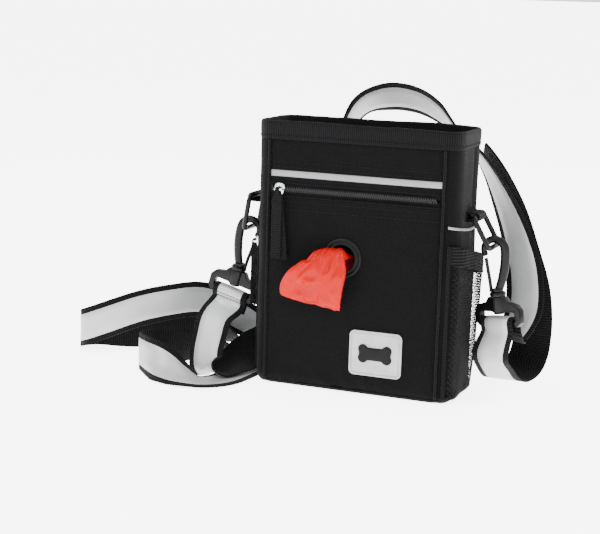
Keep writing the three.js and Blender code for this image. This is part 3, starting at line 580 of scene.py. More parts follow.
MAIN = [
    (0.052, 0.051, 0.196, 0.1, -0.88, 0.45), (0.038, 0.053, 0.208, 0, -0.7, 0.7),
    (0.023, 0.056, 0.2155, 0, -0.66, 0.75), (0.006, 0.06, 0.2185, 0, -0.66, 0.75),
    (-0.007, 0.062, 0.218, 0, -0.68, 0.73), (-0.024, 0.064, 0.213, 0, -0.8, 0.6),
    (-0.035, 0.065, 0.204, 0, -0.9, 0.4), (-0.043, 0.064, 0.188, 0, -1, 0.2),
    (-0.047, 0.062, 0.165, 0, -1, 0), (-0.049, 0.06, 0.135, 0, -1, 0),
    (-0.05, 0.059, 0.1, 0, -1, 0), (-0.05, 0.062, 0.065, 0, -1, 0),
    (-0.05, 0.068, 0.035, 0, -1, 0), (-0.053, 0.078, 0.014, -0.1, -1, 0), (-0.063, 0.088, 0.004, -0.1, -1, 0),
    (-0.08, 0.094, 0.0018, -0.1, -1, 0), (-0.098, 0.092, 0.0035, -0.1, -1, 0.15),
    (-0.114, 0.084, 0.011, -0.1, -0.8, 0.6), (-0.128, 0.071, 0.022, -0.1, -0.4, 0.9),
    (-0.143, 0.054, 0.035, 0, -0.1, 1), (-0.158, 0.04, 0.043, 0, 0, 1), (-0.177, 0.022, 0.042, 0, 0, 1),
    (-0.198, 0.008, 0.037, 0, 0, 1), (-0.223, -0.005, 0.027, 0, 0, 1), (-0.24, -0.008, 0.02, 0, 0, 1),
    (-0.248, 0.002, 0.016, 0, 0, 1), (-0.24, 0.013, 0.0155, 0, 0, 1), (-0.222, 0.017, 0.0153, 0, 0, 1),
    (-0.2, 0.026, 0.0153, 0, 0, 1), (-0.175, 0.042, 0.0153, 0, 0, 1),
    (-0.152, 0.056, 0.0128, 0.35, -0.5, 0.8), (-0.132, 0.066, 0.006, 0.5, -0.85, 0.3),
    (-0.113, 0.062, 0.0019, -0.3, -0.95, 0),
    (-0.1, 0.046, 0.0016, -0.85, -0.5, 0), (-0.095, 0.024, 0.0016, -1, -0.1, 0),
    (-0.0945, 0, 0.0016, -1, 0, 0), (-0.095, -0.024, 0.0016, -1, 0.1, 0),
    (-0.099, -0.047, 0.0016, -0.9, 0.45, 0), (-0.111, -0.061, 0.0026, -0.45, 0.88, 0.05),
    (-0.128, -0.063, 0.007, 0, 0.9, 0.4), (-0.147, -0.058, 0.0132, 0, 0.45, 0.89),
    (-0.163, -0.049, 0.0153, 0, 0.1, 1), (-0.172, -0.039, 0.0154, 0, 0, 1), (-0.168, -0.028, 0.0154, 0, 0, 1),
    (-0.155, -0.016, 0.0152, 0.1, -0.1, 1), (-0.139, 0, 0.0135, 0.4, -0.4, 0.8),
    (-0.124, 0.02, 0.0088, 0.7, -0.6, 0.35), (-0.11, 0.04, 0.0055, 0.75, -0.65, 0),
    (-0.094, 0.054, 0.0055, 0.5, -0.85, -0.1), (-0.08, 0.064, 0.0084, 0.1, -0.9, -0.4),
    (-0.069, 0.065, 0.0134, 0, -0.5, -0.85), (-0.06, 0.06, 0.0155, 0, 0, -1),
    (-0.058, 0.052, 0.0156, 0, 0, -1), (-0.064, 0.045, 0.0156, 0, 0, -1), (-0.073, 0.041, 0.0157, 0, 0, -1),
    (-0.083, 0.034, 0.0165, -0.1, 0, -1), (-0.0895, 0.023, 0.0174, 0.1, 0.05, -0.99),
    (-0.092, 0.0128, 0.0176, 0.35, 0, -0.93),
]

INNER_RISE = [
    (0.11, 0.016, 0.0455, 0.91, -0.4, 0.05), (0.114, 0.029, 0.052, 0.95, -0.25, 0.12),
    (0.115, 0.042, 0.067, 0.97, -0.05, 0), (0.111, 0.051, 0.092, 0.95, -0.15, 0.05),
    (0.104, 0.053, 0.115, 0.9, -0.35, 0.1), (0.095, 0.052, 0.1375, 0.8, -0.55, 0.15),
    (0.084, 0.05, 0.16, 0.6, -0.75, 0.2), (0.075, 0.051, 0.173, 0.4, -0.85, 0.3),
    (0.069, 0.052, 0.18, 0.25, -0.9, 0.35),
]

OUTER_RUN = [
    (0.1025, -0.006, 0.036, -0.95, 0.2, 0.04), (0.1035, 0.008, 0.023, -0.98, 0, 0.03),
    (0.1055, 0.025, 0.0125, -1, -0.02, 0), (0.11, 0.041, 0.0115, -0.98, 0.05, 0.08),
    (0.1145, 0.0535, 0.017, -0.97, 0.05, 0.12), (0.117, 0.06, 0.027, -0.97, 0, 0.1),
    (0.118, 0.062, 0.041, -0.97, 0, 0.05), (0.118, 0.062, 0.055, -0.97, 0.05, 0),
    (0.1155, 0.062, 0.077, -0.95, 0.15, 0), (0.108, 0.061, 0.105, -0.9, 0.35, -0.1),
    (0.098, 0.0585, 0.138, -0.8, 0.55, -0.15), (0.088, 0.0545, 0.1625, -0.6, 0.75, -0.2),
    (0.0795, 0.055, 0.1765, -0.4, 0.85, -0.3), (0.074, 0.056, 0.184, -0.25, 0.9, -0.35),
]

# Half section of the webbing: (across, along the black side's normal), then the taped side.
SECTION = [(-15, 0), (-14.4, 0.8), (-7, 0.85), (0, 0.85), (7, 0.85), (14.4, 0.8), (15, 0), (14.4, -0.75),
           (10.4, -0.75), (10, -1.05), (5, -1.1), (0, -1.1), (-5, -1.1), (-10, -1.05), (-10.4, -0.75),
           (-14.4, -0.75)]
TAPED = range(8, 14)


def fold_stations(place, path):
    """Stations round the bottom bar of a swivel base, from rows of (y, z) in its frame, in mm."""
    across = place.base.to_3x3() @ Vector((-1, 0, 0))
    return [(*(place.base @ Vector((0, y * MM, z * MM))), *across) for y, z in path]


class Strand:
    """A run of webbing through stations; parts of it are cut out by station number."""

    def __init__(self, stations):
        self.stations = [(*s[:3], *Vector(s[3:]).normalized()) for s in stations]

    def spot(self, t):
        """The centre and width direction at station number t."""
        i = min(max(int(t), 0), len(self.stations) - 2)
        w = min(max(t - i, 0), 1)
        at = centripetal([np.array(s[:3]) for s in self.stations], i, w, False)
        across = centripetal([np.array(s[3:]) for s in self.stations], i, w, False)
        return Vector(at), Vector(across)

    def lay(self, first, last, step=1.8 * MM):
        """Centres, width directions and normals from one station number to another."""
        places = [np.array(s[:3]) for s in self.stations]
        span = sum(np.linalg.norm(b - a) for a, b in zip(places, places[1:])) / (len(places) - 1)
        count = max(8, int((last - first) * span / step))
        rows = []
        for k in range(count + 1):
            t = first + (last - first) * k / count
            centre, width = self.spot(t)
            along = (self.spot(t + 0.04)[0] - self.spot(t - 0.04)[0]).normalized()
            across = (width - along * width.dot(along)).normalized()
            rows.append((centre, across, along.cross(across)))
        return rows

    @staticmethod
    def rings(rows):
        rings = []
        for centre, across, normal in rows:
            ring = []
            for s, n in SECTION:
                wave = ripple(centre + across * s * MM, 0.03, 0.5 * MM, 4)
                point = centre + across * (s * MM) + normal * (n * MM + wave * (abs(s) / 15) ** 2)
                point.z = max(point.z, 0.0002)
                ring.append(point)
            rings.append(ring)
        return rings

    def piece(self, name, first, last):
        rows = self.lay(first, last)
        made = sweep(name, self.rings(rows), [WEBBING, REFLECT],
                     pick=lambda i, j: 1 if j in TAPED else 0, sharp=50)
        return made, rows


def bending(strand, name, first, last, bodies, *nodes):
    """A length of strap that runs from one body to the next, baked in place."""
    made, rows = strand.piece(name, first, last)
    run = (rows[-1][0] - rows[0][0]).normalized()
    half = WEB_WIDTH / 2
    near = max((rows[0][0] + rows[0][1] * s).dot(run) for s in (-half, half)) + 0.002
    far = min((rows[-1][0] + rows[-1][1] * s).dot(run) for s in (-half, half)) - 0.002
    if far < near + 0.004:
        middle = (near + far) / 2
        near, far = middle - 0.002, middle + 0.002
    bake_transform(made)
    if nodes:
        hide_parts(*nodes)
    return made


def cross_stitch(name, rows, share, side, body):
    """A row of thread across the webbing; side is -1 on the taped face."""
    centre, across, normal = rows[int(share * (len(rows) - 1))]
    out = normal * side
    lift = out * (1.15 * MM)
    ends = [centre - across * 0.0125 + lift, centre + across * 0.0125 + lift]
    return dress(stitches(name, ends, out, 2.2 * MM, 0.7 * MM), body, "webbing")


# Station numbers where the strap passes from one body to the next.
LEFT_CUTS = (0, 7.4, 9.0, 10.9)
RIGHT_CUTS = (0, 3.8, 5.6, 6.8, 8.0, 15.3, 16.6, 18.0, 22.0)

LEFT_FOLD = [(0.9, -33), (1.3, -27), (4.4, -20.5), (3.6, -16.9), (0, -15.6), (-3.6, -16.9), (-4.4, -20.5),
             (-1.6, -27)]
RIGHT_FOLD = [(4.9, -26), (4.9, -20), (3.9, -16.8), (0, -15.4), (-3.9, -16.8), (-4.9, -20), (-4.9, -26)]


def make_left_strap():
    strand = Strand([*fold_stations(LEFT, LEFT_FOLD), *LEFT_DROP])
    start, turned, twisted, hung = LEFT_CUTS
    fold, rows = strand.piece("left_strap_end", start, turned)
    dress(fold, "left_swivel", "webbing", "strap_left_fold")
    for k, share in enumerate((0.83, 0.87)):
        cross_stitch(f"left_strap_bartack_{k}", rows, share, -1, "left_swivel")
        cross_stitch(f"left_strap_back_bartack_{k}", rows, 1 - share, -1, "left_swivel")
    bending(strand, "left_strap_twist", turned, twisted, ("left_swivel", "left_hook"), "strap_left_drop")
    bending(strand, "left_strap_hook_bend", twisted, hung, ("left_hook", "left_ring"))
    tail = Strand([*LEFT_DROP[:-1], *[(*s[:3], *(-v for v in s[3:])) for s in MAIN[:-8:-1]]])
    lead = len(LEFT_DROP) - 1
    bending(tail, "left_strap_ring_bend", 2.9, lead + 4, ("left_ring", "root"))


def make_main_strap():
    strand = Strand(MAIN)
    made, rows = strand.piece("shoulder_strap", 0, len(MAIN) - 5)
    dress(made, "root", "webbing", "strap_main")


def make_right_strap():
    inner = [(*s[:3], *(-v for v in s[3:])) for s in reversed(INNER_RISE)]
    strand = Strand([*inner, *fold_stations(RIGHT, RIGHT_FOLD), *OUTER_RUN])
    cut = RIGHT_CUTS
    upper, rows = strand.piece("right_inner_layer", cut[0], cut[1])
    dress(upper, "root", "webbing", "strap_inner_layer")
    bending(strand, "right_inner_ring_bend", cut[1], cut[2], ("root", "right_ring"), "strap_inner_drop")
    bending(strand, "right_inner_hook_bend", cut[2], cut[3], ("right_ring", "right_hook"))
    bending(strand, "right_inner_twist", cut[3], cut[4], ("right_hook", "right_swivel"))
    fold, rows = strand.piece("right_strap_turn", cut[4], cut[5])
    dress(fold, "right_swivel", "webbing", "strap_right_fold")
    bending(strand, "right_outer_twist", cut[5], cut[6], ("right_swivel", "right_hook"), "strap_outer_drop")
    bending(strand, "right_outer_hook_bend", cut[6], cut[7], ("right_hook", "right_ring"))
    bending(strand, "right_outer_ring_bend", cut[7], cut[8], ("right_ring", "root"))
    outer, rows = strand.piece("right_outer_layer", cut[8], len(strand.stations) - 1)
    dress(outer, "root", "webbing", "strap_outer_layer")


make_left_strap()
make_main_strap()
make_right_strap()


# ---------- pouch body ----------
def gusset_points(side, inset=0.0, count=64):
    """Points and outward normals round a side gusset, front seam to back seam, evenly spaced."""
    path = []
    for k in range(33):
        turn = math.pi / 2 * k / 32
        path.append((SEAM_X + (0.011 - inset) * math.sin(turn), -CORNER_Y - (0.013 - inset) * math.cos(turn),
                     math.sin(turn), -math.cos(turn)))
    path += [(x, -y, nx, -ny) for x, y, nx, ny in reversed(path)]
    path = np.array(path)
    run = np.concatenate([[0], np.cumsum(np.linalg.norm(np.diff(path[:, :2], axis=0), axis=1))])
    out = []
    for k in range(count + 1):
        at = run[-1] * k / count
        x, y, nx, ny = (np.interp(at, run, path[:, c]) for c in range(4))
        out.append((Vector((side * x, y, 0)), Vector((side * nx, ny, 0)).normalized(), at))
    return out


def tuck(z, radius=0.009):
    """How far the walls pull in at the foot, where they turn under."""
    if z >= radius:
        return 0.0
    return 0.62 * (radius - math.sqrt(max(radius ** 2 - (radius - z) ** 2, 0)))


def slack(point, seed=0):
    """The unevenness of a stuffed fabric wall."""
    broad = ripple(point, 0.05, 0.9 * MM, seed)
    fine = ripple(point, 0.017, 0.4 * MM, seed + 3)
    low = max(0.0, 1 - point[2] / 0.035)
    folds = abs(noise.noise(Vector((point[0] / 0.016, point[1] / 0.016, point[2] / 0.03)))) * 1.3 * MM * low
    return broad + fine - folds


def pucker(distance, along, seed=0):
    """Small gathers beside a line of stitching."""
    gather = noise.noise(Vector((along / 0.005, seed * 4.7, 0.3)))
    return gather * 0.35 * MM * math.exp(-abs(distance) / 0.004)


def wall_out(x, z, sign):
    """How far a front or back wall stands proud of its flat face."""
    edge = min((SEAM_X - abs(x)) / 0.012, 1.0)
    crown = 0.9 * MM * math.sin(math.pi * min(max(z / 0.19, 0), 1)) ** 0.6 * edge
    seam = 0.9 * MM * math.exp(-(SEAM_X - abs(x)) / 0.003)
    uneven = slack((x, sign * HALF_DEPTH, z), 1 if sign < 0 else 5)
    return crown - seam + uneven * min(edge, 1) - tuck(z)


def front_point(x, z):
    out = wall_out(x, z, -1)
    for line in (*POCKET_SEAMS, *STRIP_SEAMS, RIM_FOOT):
        out += pucker(z - line, x, line * 100) - 0.25 * MM * math.exp(-((z - line) / 0.0012) ** 2)
    return Vector((x, -HALF_DEPTH - out, z))


def back_point(x, z):
    return Vector((x, HALF_DEPTH + wall_out(x, z, 1), z))


def wall(name, z0, z1, point, node, keep=None, outward=FORWARD, rows=96):
    def place(s, t):
        x, z = (2 * s - 1) * SEAM_X, z0 + (z1 - z0) * t
        return point(x, z), (x, z)

    dress(cloth(name, 96, rows, place, CLOTH, PANEL, keep, outward), "root", "shell_fabric", node)


def clear_of_grommet(centre):
    return math.hypot(centre.x - GROMMET.x, centre.z - GROMMET.z) > GROMMET_HOLE


def make_walls():
    wall("front_lower_cloth", WALL_FOOT, 0.1462, front_point, "front_lower_panel", clear_of_grommet)
    wall("front_upper_cloth", 0.1568, WALL_TOP, front_point, "front_upper_panel", rows=32)
    wall("back_cloth", WALL_FOOT, WALL_TOP, back_point, "back_panel", outward=-FORWARD, rows=110)
    for side, name in ((-1, "left"), (1, "right")):
        make_gusset(side, name)
    make_floor()


def gusset_point(at, normal, run, total, z):
    """A point of a gusset: a soft crease runs down its rear half, deep at the top."""
    share = run / total
    edge = math.exp(-min(run, total - run) / 0.003)
    crease = math.exp(-((share - 0.64) / 0.05) ** 2) * min(max((z - 0.10) / 0.06, 0), 1)
    puff = 0.8 * MM * math.sin(math.pi * share)
    out = puff - 0.8 * MM * edge - 1.6 * MM * crease + slack((at.x, at.y, z), 9) * 0.8 - tuck(z)
    return Vector((at.x, at.y, z)) + normal * out


def make_gusset(side, name):
    line = gusset_points(side)
    total = line[-1][2]

    def place(s, t):
        at, normal, run = line[round(s * 64)]
        z = WALL_FOOT + (WALL_TOP - WALL_FOOT) * t
        return gusset_point(at, normal, run, total, z), (run, z)

    made = cloth(f"{name}_gusset_cloth", 64, 100, place, CLOTH, PANEL, None, Vector((side, 0, 0)))
    dress(made, "root", "shell_fabric", f"{name}_gusset")
    for piping, end, depth in (("front", 0, -1), ("back", -1, 1)):
        at, normal, _ = line[end]
        points = []
        for k in range(90):
            z = 0.004 + 0.184 * k / 89
            points.append((at.x + side * 0.0004 + ripple((0, 0, z), 0.02, 0.4 * MM, side),
                           at.y + depth * (0.0004 - tuck(z)), z))
        bead = tube(f"{name}_{piping}_piping_cord", points, 1.15 * MM, BINDING)
        nodes = [f"{name}_front_piping"] if piping == "front" else []
        dress(bead, "root", "grosgrain", *nodes)


def outline_points(inset, count=200):
    """The pouch's closed outline with outward normals, evenly spaced."""
    right = [(p[0], p[1]) for p in gusset_points(1, inset, 40)]
    left = [(p[0], p[1]) for p in reversed(gusset_points(-1, inset, 40))]
    points = [(Vector((p.x, p.y, 0)), n) for p, n in right + left]
    closed = points + points[:1]
    run = distances([p for p, _ in closed])
    out = []
    for k in range(count):
        i, w = share_of(run, run[-1] * k / count)
        normal = (closed[i][1].lerp(closed[i + 1][1], w)).normalized()
        out.append((closed[i][0].lerp(closed[i + 1][0], w), normal))
    return out


def make_floor():
    """The bottom panel, turned up a little at its rounded edge."""
    line = outline_points(0)
    rings = []
    for share, z in ((0.02, 0.0006), (0.5, 0.0005), (0.85, 0.0005), (0.93, 0.0008), (0.97, 0.0028),
                     (0.955, 0.0034), (0.9, 0.0022), (0.5, 0.0018), (0.02, 0.0018)):
        rings.append([Vector((p.x * share, p.y * share, z)) for p, _ in line])
    made = sweep("base_cloth", [list(ring) for ring in zip(*rings)], CLOTH, loop=True)
    dress(made, "root", "shell_fabric", "base_panel")


def make_rim():
    """Grosgrain folded over the mouth's edge, stitched through near its lower edge."""
    section = [(0.9, 188.7), (1.35, 190), (1.0, 191.2), (1.3, 194), (1.35, 199), (1.1, 202), (0.3, 203),
               (-0.9, 203.1), (-1.9, 202.2), (-2.3, 199), (-2.2, 193), (-2.0, 189), (-0.4, 188.9)]
    line = outline_points(0, 260)
    rings = []
    for at, normal in line:
        dip = ripple((at.x, at.y * 0.4, 0.2), 0.055, 1.6 * MM, 2) + ripple(at, 0.012, 0.25 * MM, 6)
        lean = ripple((at.x, at.y * 0.4, 0.3), 0.07, 1.2 * MM, 8)
        ring = []
        for out, z in section:
            rise = (z - 188.7) / 14.4
            point = at + normal * (out * MM + lean * rise)
            point.z = z * MM + (dip - 0.4 * MM) * rise
            ring.append(point)
        rings.append(ring)
    made = sweep("rim_grosgrain_binding", rings, BINDING, loop=True)
    dress(made, "root", "grosgrain", "rim_binding")
    seam = [at + normal * (1.25 * MM) + Vector((0, 0, 0.1912)) for at, normal in line + line[:1]]
    normals = [n for _, n in line + line[:1]]
    dress(stitches("rim_stitching", seam, normals, 2.2 * MM, 0.9 * MM), "root", "grosgrain")


def make_lining():
    line = outline_points(2.6 * MM, 160)

    def place(s, t):
        at, normal = line[round(s * 160) % 160]
        z = 0.0036 + 0.1854 * t
        point = at - normal * (tuck(z) + abs(slack((at.x, at.y, z), 12)) * 0.6)
        return Vector((point.x, point.y, z)), (s * 0.42, z)

    made = cloth("lining_bag", 160, 60, place, LINING, 0.5 * MM, lining_open)
    floor_line = outline_points(7 * MM, 80)
    rings = [[Vector((p.x * k, p.y * k, z)) for k, z in ((0.02, 0.0040), (0.7, 0.0041), (1, 0.0044),
                                                         (1, 0.0049), (0.7, 0.0046), (0.02, 0.0046))]
             for p, _ in floor_line]
    bottom = sweep("lining_floor", rings, LINING, loop=True)
    dress(bottom, "root", "lining_fabric")
    dress(made, "root", "lining_fabric", "lining")


def lining_open(centre):
    return not (centre.y < -0.0255 and abs(centre.x) < SEAM_X and centre.z < 0.157)


def make_divider():
    depths = [(157, -27.5), (140, -16), (120, -1), (103, 4.5), (88, 5.5), (72, 4.5), (50, -4), (24, -12),
              (5, -14)]
    curve = smooth([(0, y, z) for z, y in depths], 61)

    def place(s, t):
        at = curve[round(t * 60)]
        x = (2 * s - 1) * 0.0655
        sag = ripple((x, at[1] * MM, at[2] * MM), 0.03, 1.0 * MM, 15)
        return Vector((x, at[1] * MM + sag, at[2] * MM)), (x, t * 0.17)

    made = cloth("pocket_divider_cloth", 60, 60, place, LINING, 0.8 * MM)
    dress(made, "root", "lining_fabric", "divider_panel")


# ---------- zips, strip and stitching on the front ----------
def front_line(z, lift, x0=-0.0665, x1=0.0665, count=160):
    return [front_point(x0 + (x1 - x0) * k / count, z) + FORWARD * lift for k in range(count + 1)]


def make_strip():
    def place(s, t):
        x, z = (2 * s - 1) * 0.0672, STRIP_FOOT + STRIP_HEIGHT * t
        point = front_point(x, z)
        edge = 0.12 * MM if t in (0, 1) else 0.5 * MM
        return point + FORWARD * edge, (x, z)

    made = cloth("front_reflective_strip", 150, 6, place, REFLECT_PAINTED_SHADE, 0.3 * MM, None, FORWARD)
    dress(made, "root", "reflective_tape", "reflective_strip")
    rows = []
    for k, z in enumerate((*STRIP_SEAMS, *POCKET_SEAMS)):
        rows.append(stitches(f"front_seam_{k}", front_line(z, 0.05 * MM), FORWARD))
    dress(join("front_seam_threads", rows), "root", "shell_fabric")


def teeth(name, centre, along, out, length, pitch=1.8 * MM):
    """Two rows of interlocked coil teeth along a zip."""
    centre, along, out = Vector(centre), Vector(along).normalized(), Vector(out).normalized()
    across = out.cross(along)
    verts, faces = [], []
    for k in range(int(length / pitch)):
        for side, shift in ((1, 0.0), (-1, 0.5)):
            at = centre + along * (pitch * (k + shift) - length / 2)
            path = [at + across * (side * w * MM) + out * (h * MM)
                    for w, h in ((-0.35, 0.1), (0.1, 0.75), (0.8, 0.95), (1.45, 0.6), (1.75, -0.1))]
            add_bar(verts, faces, tube_rings(path, [0.5 * MM] * len(path), 6, False, tuple(along)))
    made = make(name, verts, faces, NYLON_PAINTED_HIGHLIGHT)
    face_out(made)
    return made


def make_front_zip():
    for name, z0, z1, sign in (("upper", 0.1525, 0.1564, 1), ("lower", 0.1464, 0.1505, -1)):
        def place(s, t, z0=z0, z1=z1):
            x, z = (2 * s - 1) * 0.066, z0 + (z1 - z0) * t
            return Vector((x, -0.0303 + ripple((x, 0, z), 0.02, 0.3 * MM, 3), z)), (x, z)

        tape = cloth(f"front_zip_{name}_cloth", 90, 4, place, TAPE, 0.6 * MM, None, FORWARD)
        dress(tape, "root", "zip_nylon", f"front_zip_{name}_tape")
        edge = front_line(z1 if sign > 0 else z0, -0.35 * MM)
        welt = tube(f"front_zip_{name}_welt", edge, (0.8 * MM, 0.5 * MM), CLOTH, 10, (0, 0, 1))
        dress(welt, "root", "shell_fabric")
    dress(teeth("front_zip_teeth", (0, -0.0309, ZIP_Z), (1, 0, 0), (0, -1, 0), 0.131), "root", "zip_nylon",
          "front_zip_coil")
    make_slider("front_slider_body", "front_zip_slider", FRONT_SLIDER, 0)
    make_puller("front_pull_web", "front_zip_puller", FRONT_SLIDER, 0, 8, 52, 6)


def slider_frame(at, turn):
    return Matrix.Translation(at) @ Matrix.Rotation(-math.radians(turn), 4, "Z")


def make_slider(name, node, at, turn):
    """A cast slider: a waisted top plate with a raised crown and a bail standing out of it."""
    place = slider_frame(at, turn)
    half = [(0, 4.6), (2.2, 4.5), (3.7, 3.4), (4.1, 1.2), (3.3, -0.8), (3.0, -2.6), (2.4, -4.2), (0, -4.6)]
    outline = half + [(-x, z) for x, z in reversed(half[1:-1])]
    outline = [Vector((x, z, 0)) for x, z in outline]
    rings = []
    for grow, y in ((0.80, 0.3), (0.96, 0.1), (1.0, -0.4), (0.98, -1.1), (0.86, -1.6), (0.55, -1.85)):
        rings.append([place @ Vector((p.x * grow * MM, y * MM, p.y * grow * MM)) for p in outline])
    body = sweep(name, rings, CHROME, sharp=60)
    hoop = smooth([(-2.7, -1.2), (-2.9, -2.6), (-2.2, -4.3), (0, -4.75),
                   (2.2, -4.3), (2.9, -2.6), (2.7, -1.2)], 25)
    hoop = [place @ Vector((x * MM, y * MM, 0)) for x, y in hoop]
    bail = tube(name + "_bail", hoop, 0.95 * MM, CHROME, 12, (0, 0, 1))
    crown = lathe(name + "_crown", [(0.01, 2.3), (0.9, 2.2), (1.5, 1.7), (1.7, 1.2), (0.01, 1.2)],
                  place @ Vector((0, 0, 0.003)), place.to_3x3() @ FORWARD, CHROME, 24)
    dress(join(name, [body, bail, crown]), node, "slider_metal", node)


def make_puller(name, node, at, turn, width, length, splay):
    """Webbing folded through the bail; its back layer hangs a little askew of the front one."""
    place = slider_frame(at, turn)
    axis = -4.6
    loop = [(axis + 1.3, -6), (axis + 1.35, -2), (axis + 1.1, 0.6), (axis, 1.6), (axis - 1.1, 0.6),
            (axis - 1.35, -2), (axis - 1.3, -6)]
    front = [(axis - 1.0, -z) for z in (12, 20, 28, 36, 44, length)]
    back = [(axis + 0.75, -z) for z in (length + 1, 44, 36, 28, 20, 12)]
    path = smooth([(y, z) for y, z in back + loop + front], 120)
    rings = []
    for k, (y, z) in enumerate(path):
        before, after = neighbours(path, k)
        along = Vector((0, after[0] - before[0], after[1] - before[1])).normalized()
        normal = along.cross(Vector((1, 0, 0)))
        full = min(max((-z - 1.0) / 7, 0), 1)
        half = (1.7 + (width / 2 - 1.7) * full * full * (3 - 2 * full))
        aside = math.tan(math.radians(splay)) * max(-z - 6, 0) if k < 55 else 0
        ring = []
        for s, n in ((-1, 0), (-0.93, 0.5), (0, 0.55), (0.93, 0.5),
                     (1, 0), (0.93, -0.5), (0, -0.55), (-0.93, -0.5)):
            wave = ripple((s * 0.004, n * 0.001, z * MM), 0.012, 0.25, 3)
            ring.append(place @ ((Vector((s * half + aside, y + wave * 0.6, z)) + normal * n) * MM))
        rings.append(ring)
    made = sweep(name, rings, PULL_WEB, sharp=50)
    tack = []
    for k, z in enumerate((-9.5, -10.8, 3 - length)):
        ends = [place @ (Vector((x, axis - 1.65, z)) * MM) for x in (-3.2, 3.2)]
        out = place.to_3x3() @ FORWARD
        tack.append(stitches(f"{name}_tack_{k}", ends, out, 1.6 * MM, 0.4 * MM))
    dress(join(name, [made, *tack]), node, "webbing", node)


# ---------- grommet, roll and bag ----------
def make_grommet():
    profile = [(9.5, -2.6), (9.5, 1.4), (9.9, 2.0), (10.7, 2.25), (11.5, 2.0), (11.9, 1.35), (12.4, 1.2),
               (12.9, 1.4), (13.3, 1.85), (14.0, 1.95), (14.7, 1.6), (15.0, 0.9), (15.0, 0.35), (11.0, 0.3),
               (10.9, -2.6)]
    made = lathe("grommet_ring", profile, GROMMET + FORWARD * 0.0004, FORWARD, RUBBER, 96)
    dress(made, "root", "grommet_rubber", "grommet")
    behind = [(11.0, 0), (13.0, 0.1), (13.2, 0.6), (12.9, 1.2), (11.0, 1.2)]
    washer = lathe("grommet_back_washer", behind, GROMMET - FORWARD * 0.0017, -FORWARD, RUBBER)
    dress(washer, "root", "grommet_rubber", "grommet_washer")


def make_roll():
    """Film wound on a card tube; the wound ends step in and out a little from turn to turn."""
    ends = []
    for k in range(12):
        r = 6.3 + 7.6 * k / 11
        ends.append((r, 30.2 + 0.5 * math.sin(k * 2.4) + (0.3 if k % 2 else 0)))
    profile = [(r, a) for r, a in ends] + [(13.95, 20), (13.85, 0), (13.95, -20)]
    profile += [(r, -a) for r, a in reversed(ends)] + [(6.35, 0)]
    wound = lathe("wound_bag_film", profile, ROLL_CENTRE, (1, 0, 0), FILM, 72)
    dress(wound, "bag_roll", "bag_film", "bag_roll")
    card = [(4.5, -30.9), (5.9, -31), (6.0, 0), (5.9, 31), (4.5, 30.9), (4.45, 0)]
    core = lathe("card_core", card, ROLL_CENTRE, (1, 0, 0), CARD, 48)
    dress(core, "bag_roll", "card", "roll_core")


def make_bag_end():
    """The next bag pulled out: bunched in the grommet, then a flattened, creased fan."""
    spine = [((-7, 2.5, 103.4), (1, 0, 0), 12, 1.2), ((-7, -14, 103.6), (1, 0, 0), 12, 1.8),
             ((-8.5, -27, 104), (1, 0, 0), 12, 6), ((-9.5, -33, 104.8), (1, 0, 0), 14, 8.5),
             ((-12, -37.5, 107), (1, 0, 0.1), 21, 8.5), ((-14, -41.5, 103.5), (1, 0, 0.1), 29, 8.5),
             ((-16.5, -44, 95), (1, 0, 0.04), 35, 9), ((-21, -44, 87), (1, 0, 0.02), 42, 8),
             ((-26, -42.5, 79), (1, 0, 0.04), 48, 6.5), ((-29, -41, 72.5), (1, 0, 0.07), 49, 3.5),
             ((-30, -39.5, 68), (1, 0, 0.07), 42, 1.0)]
    rows = smooth([(*c, *a, w, t) for c, a, w, t in spine], 110)
    rings = []
    for k, row in enumerate(rows):
        centre, across = Vector(row[:3]), Vector(row[3:6])
        before, after = (Vector(r[:3]) for r in neighbours(rows, k))
        along = (after - before).normalized()
        side = (across - along * across.dot(along)).normalized()
        normal = along.cross(side)
        rings.append(bag_ring(centre, side, normal, row[6], row[7], k / 109))
    made = sweep("bag_end_film", rings, FILM, sharp=24)
    dress(made, "bag_tail", "bag_film", "bag_tail")


def bag_ring(centre, side, normal, width, thick, share):
    """One section of the bag: pleats fan out from the neck, crossed by folds and a ragged lip."""
    ring = []
    open_out = min(max((share - 0.3) / 0.3, 0), 1)
    along = side.cross(normal)
    for j in range(96):
        turn = 2 * math.pi * j / 96
        s, n = math.cos(turn), math.sin(turn)
        pleat = abs(noise.noise(Vector((s * 3.6 + 5, 0.5 * n, share * 1.3)))) * 4.2
        fold = abs(noise.noise(Vector((s * 2.0 + share * 4, n * 1.4, share * 7 + 2)))) * 4.0
        lift = (1.7 - pleat - fold) * (0.3 + 0.7 * open_out) * min(thick / 4, 1)
        flat = math.copysign(abs(n) ** 0.8, n)
        lip = max(share - 0.8, 0) * 5 * 1.6 * noise.noise(Vector((s * 2.3 + 9, n * 0.3, 1)))
        point = centre + side * (s * width / 2) + normal * (flat * thick / 2 + lift * n) + along * lip
        ring.append(point * MM)
    return ring


# ---------- patch ----------
def rounded(x0, x1, z0, z1, radius, steps=6):
    """A rounded rectangle's points, anticlockwise."""
    points = []
    for cx, cz, start in ((x1 - radius, z1 - radius, 0), (x0 + radius, z1 - radius, 90),
                          (x0 + radius, z0 + radius, 180), (x1 - radius, z0 + radius, 270)):
        for k in range(steps + 1):
            turn = math.radians(start + 90 * k / steps)
            points.append((cx + radius * math.cos(turn), cz + radius * math.sin(turn)))
    return points


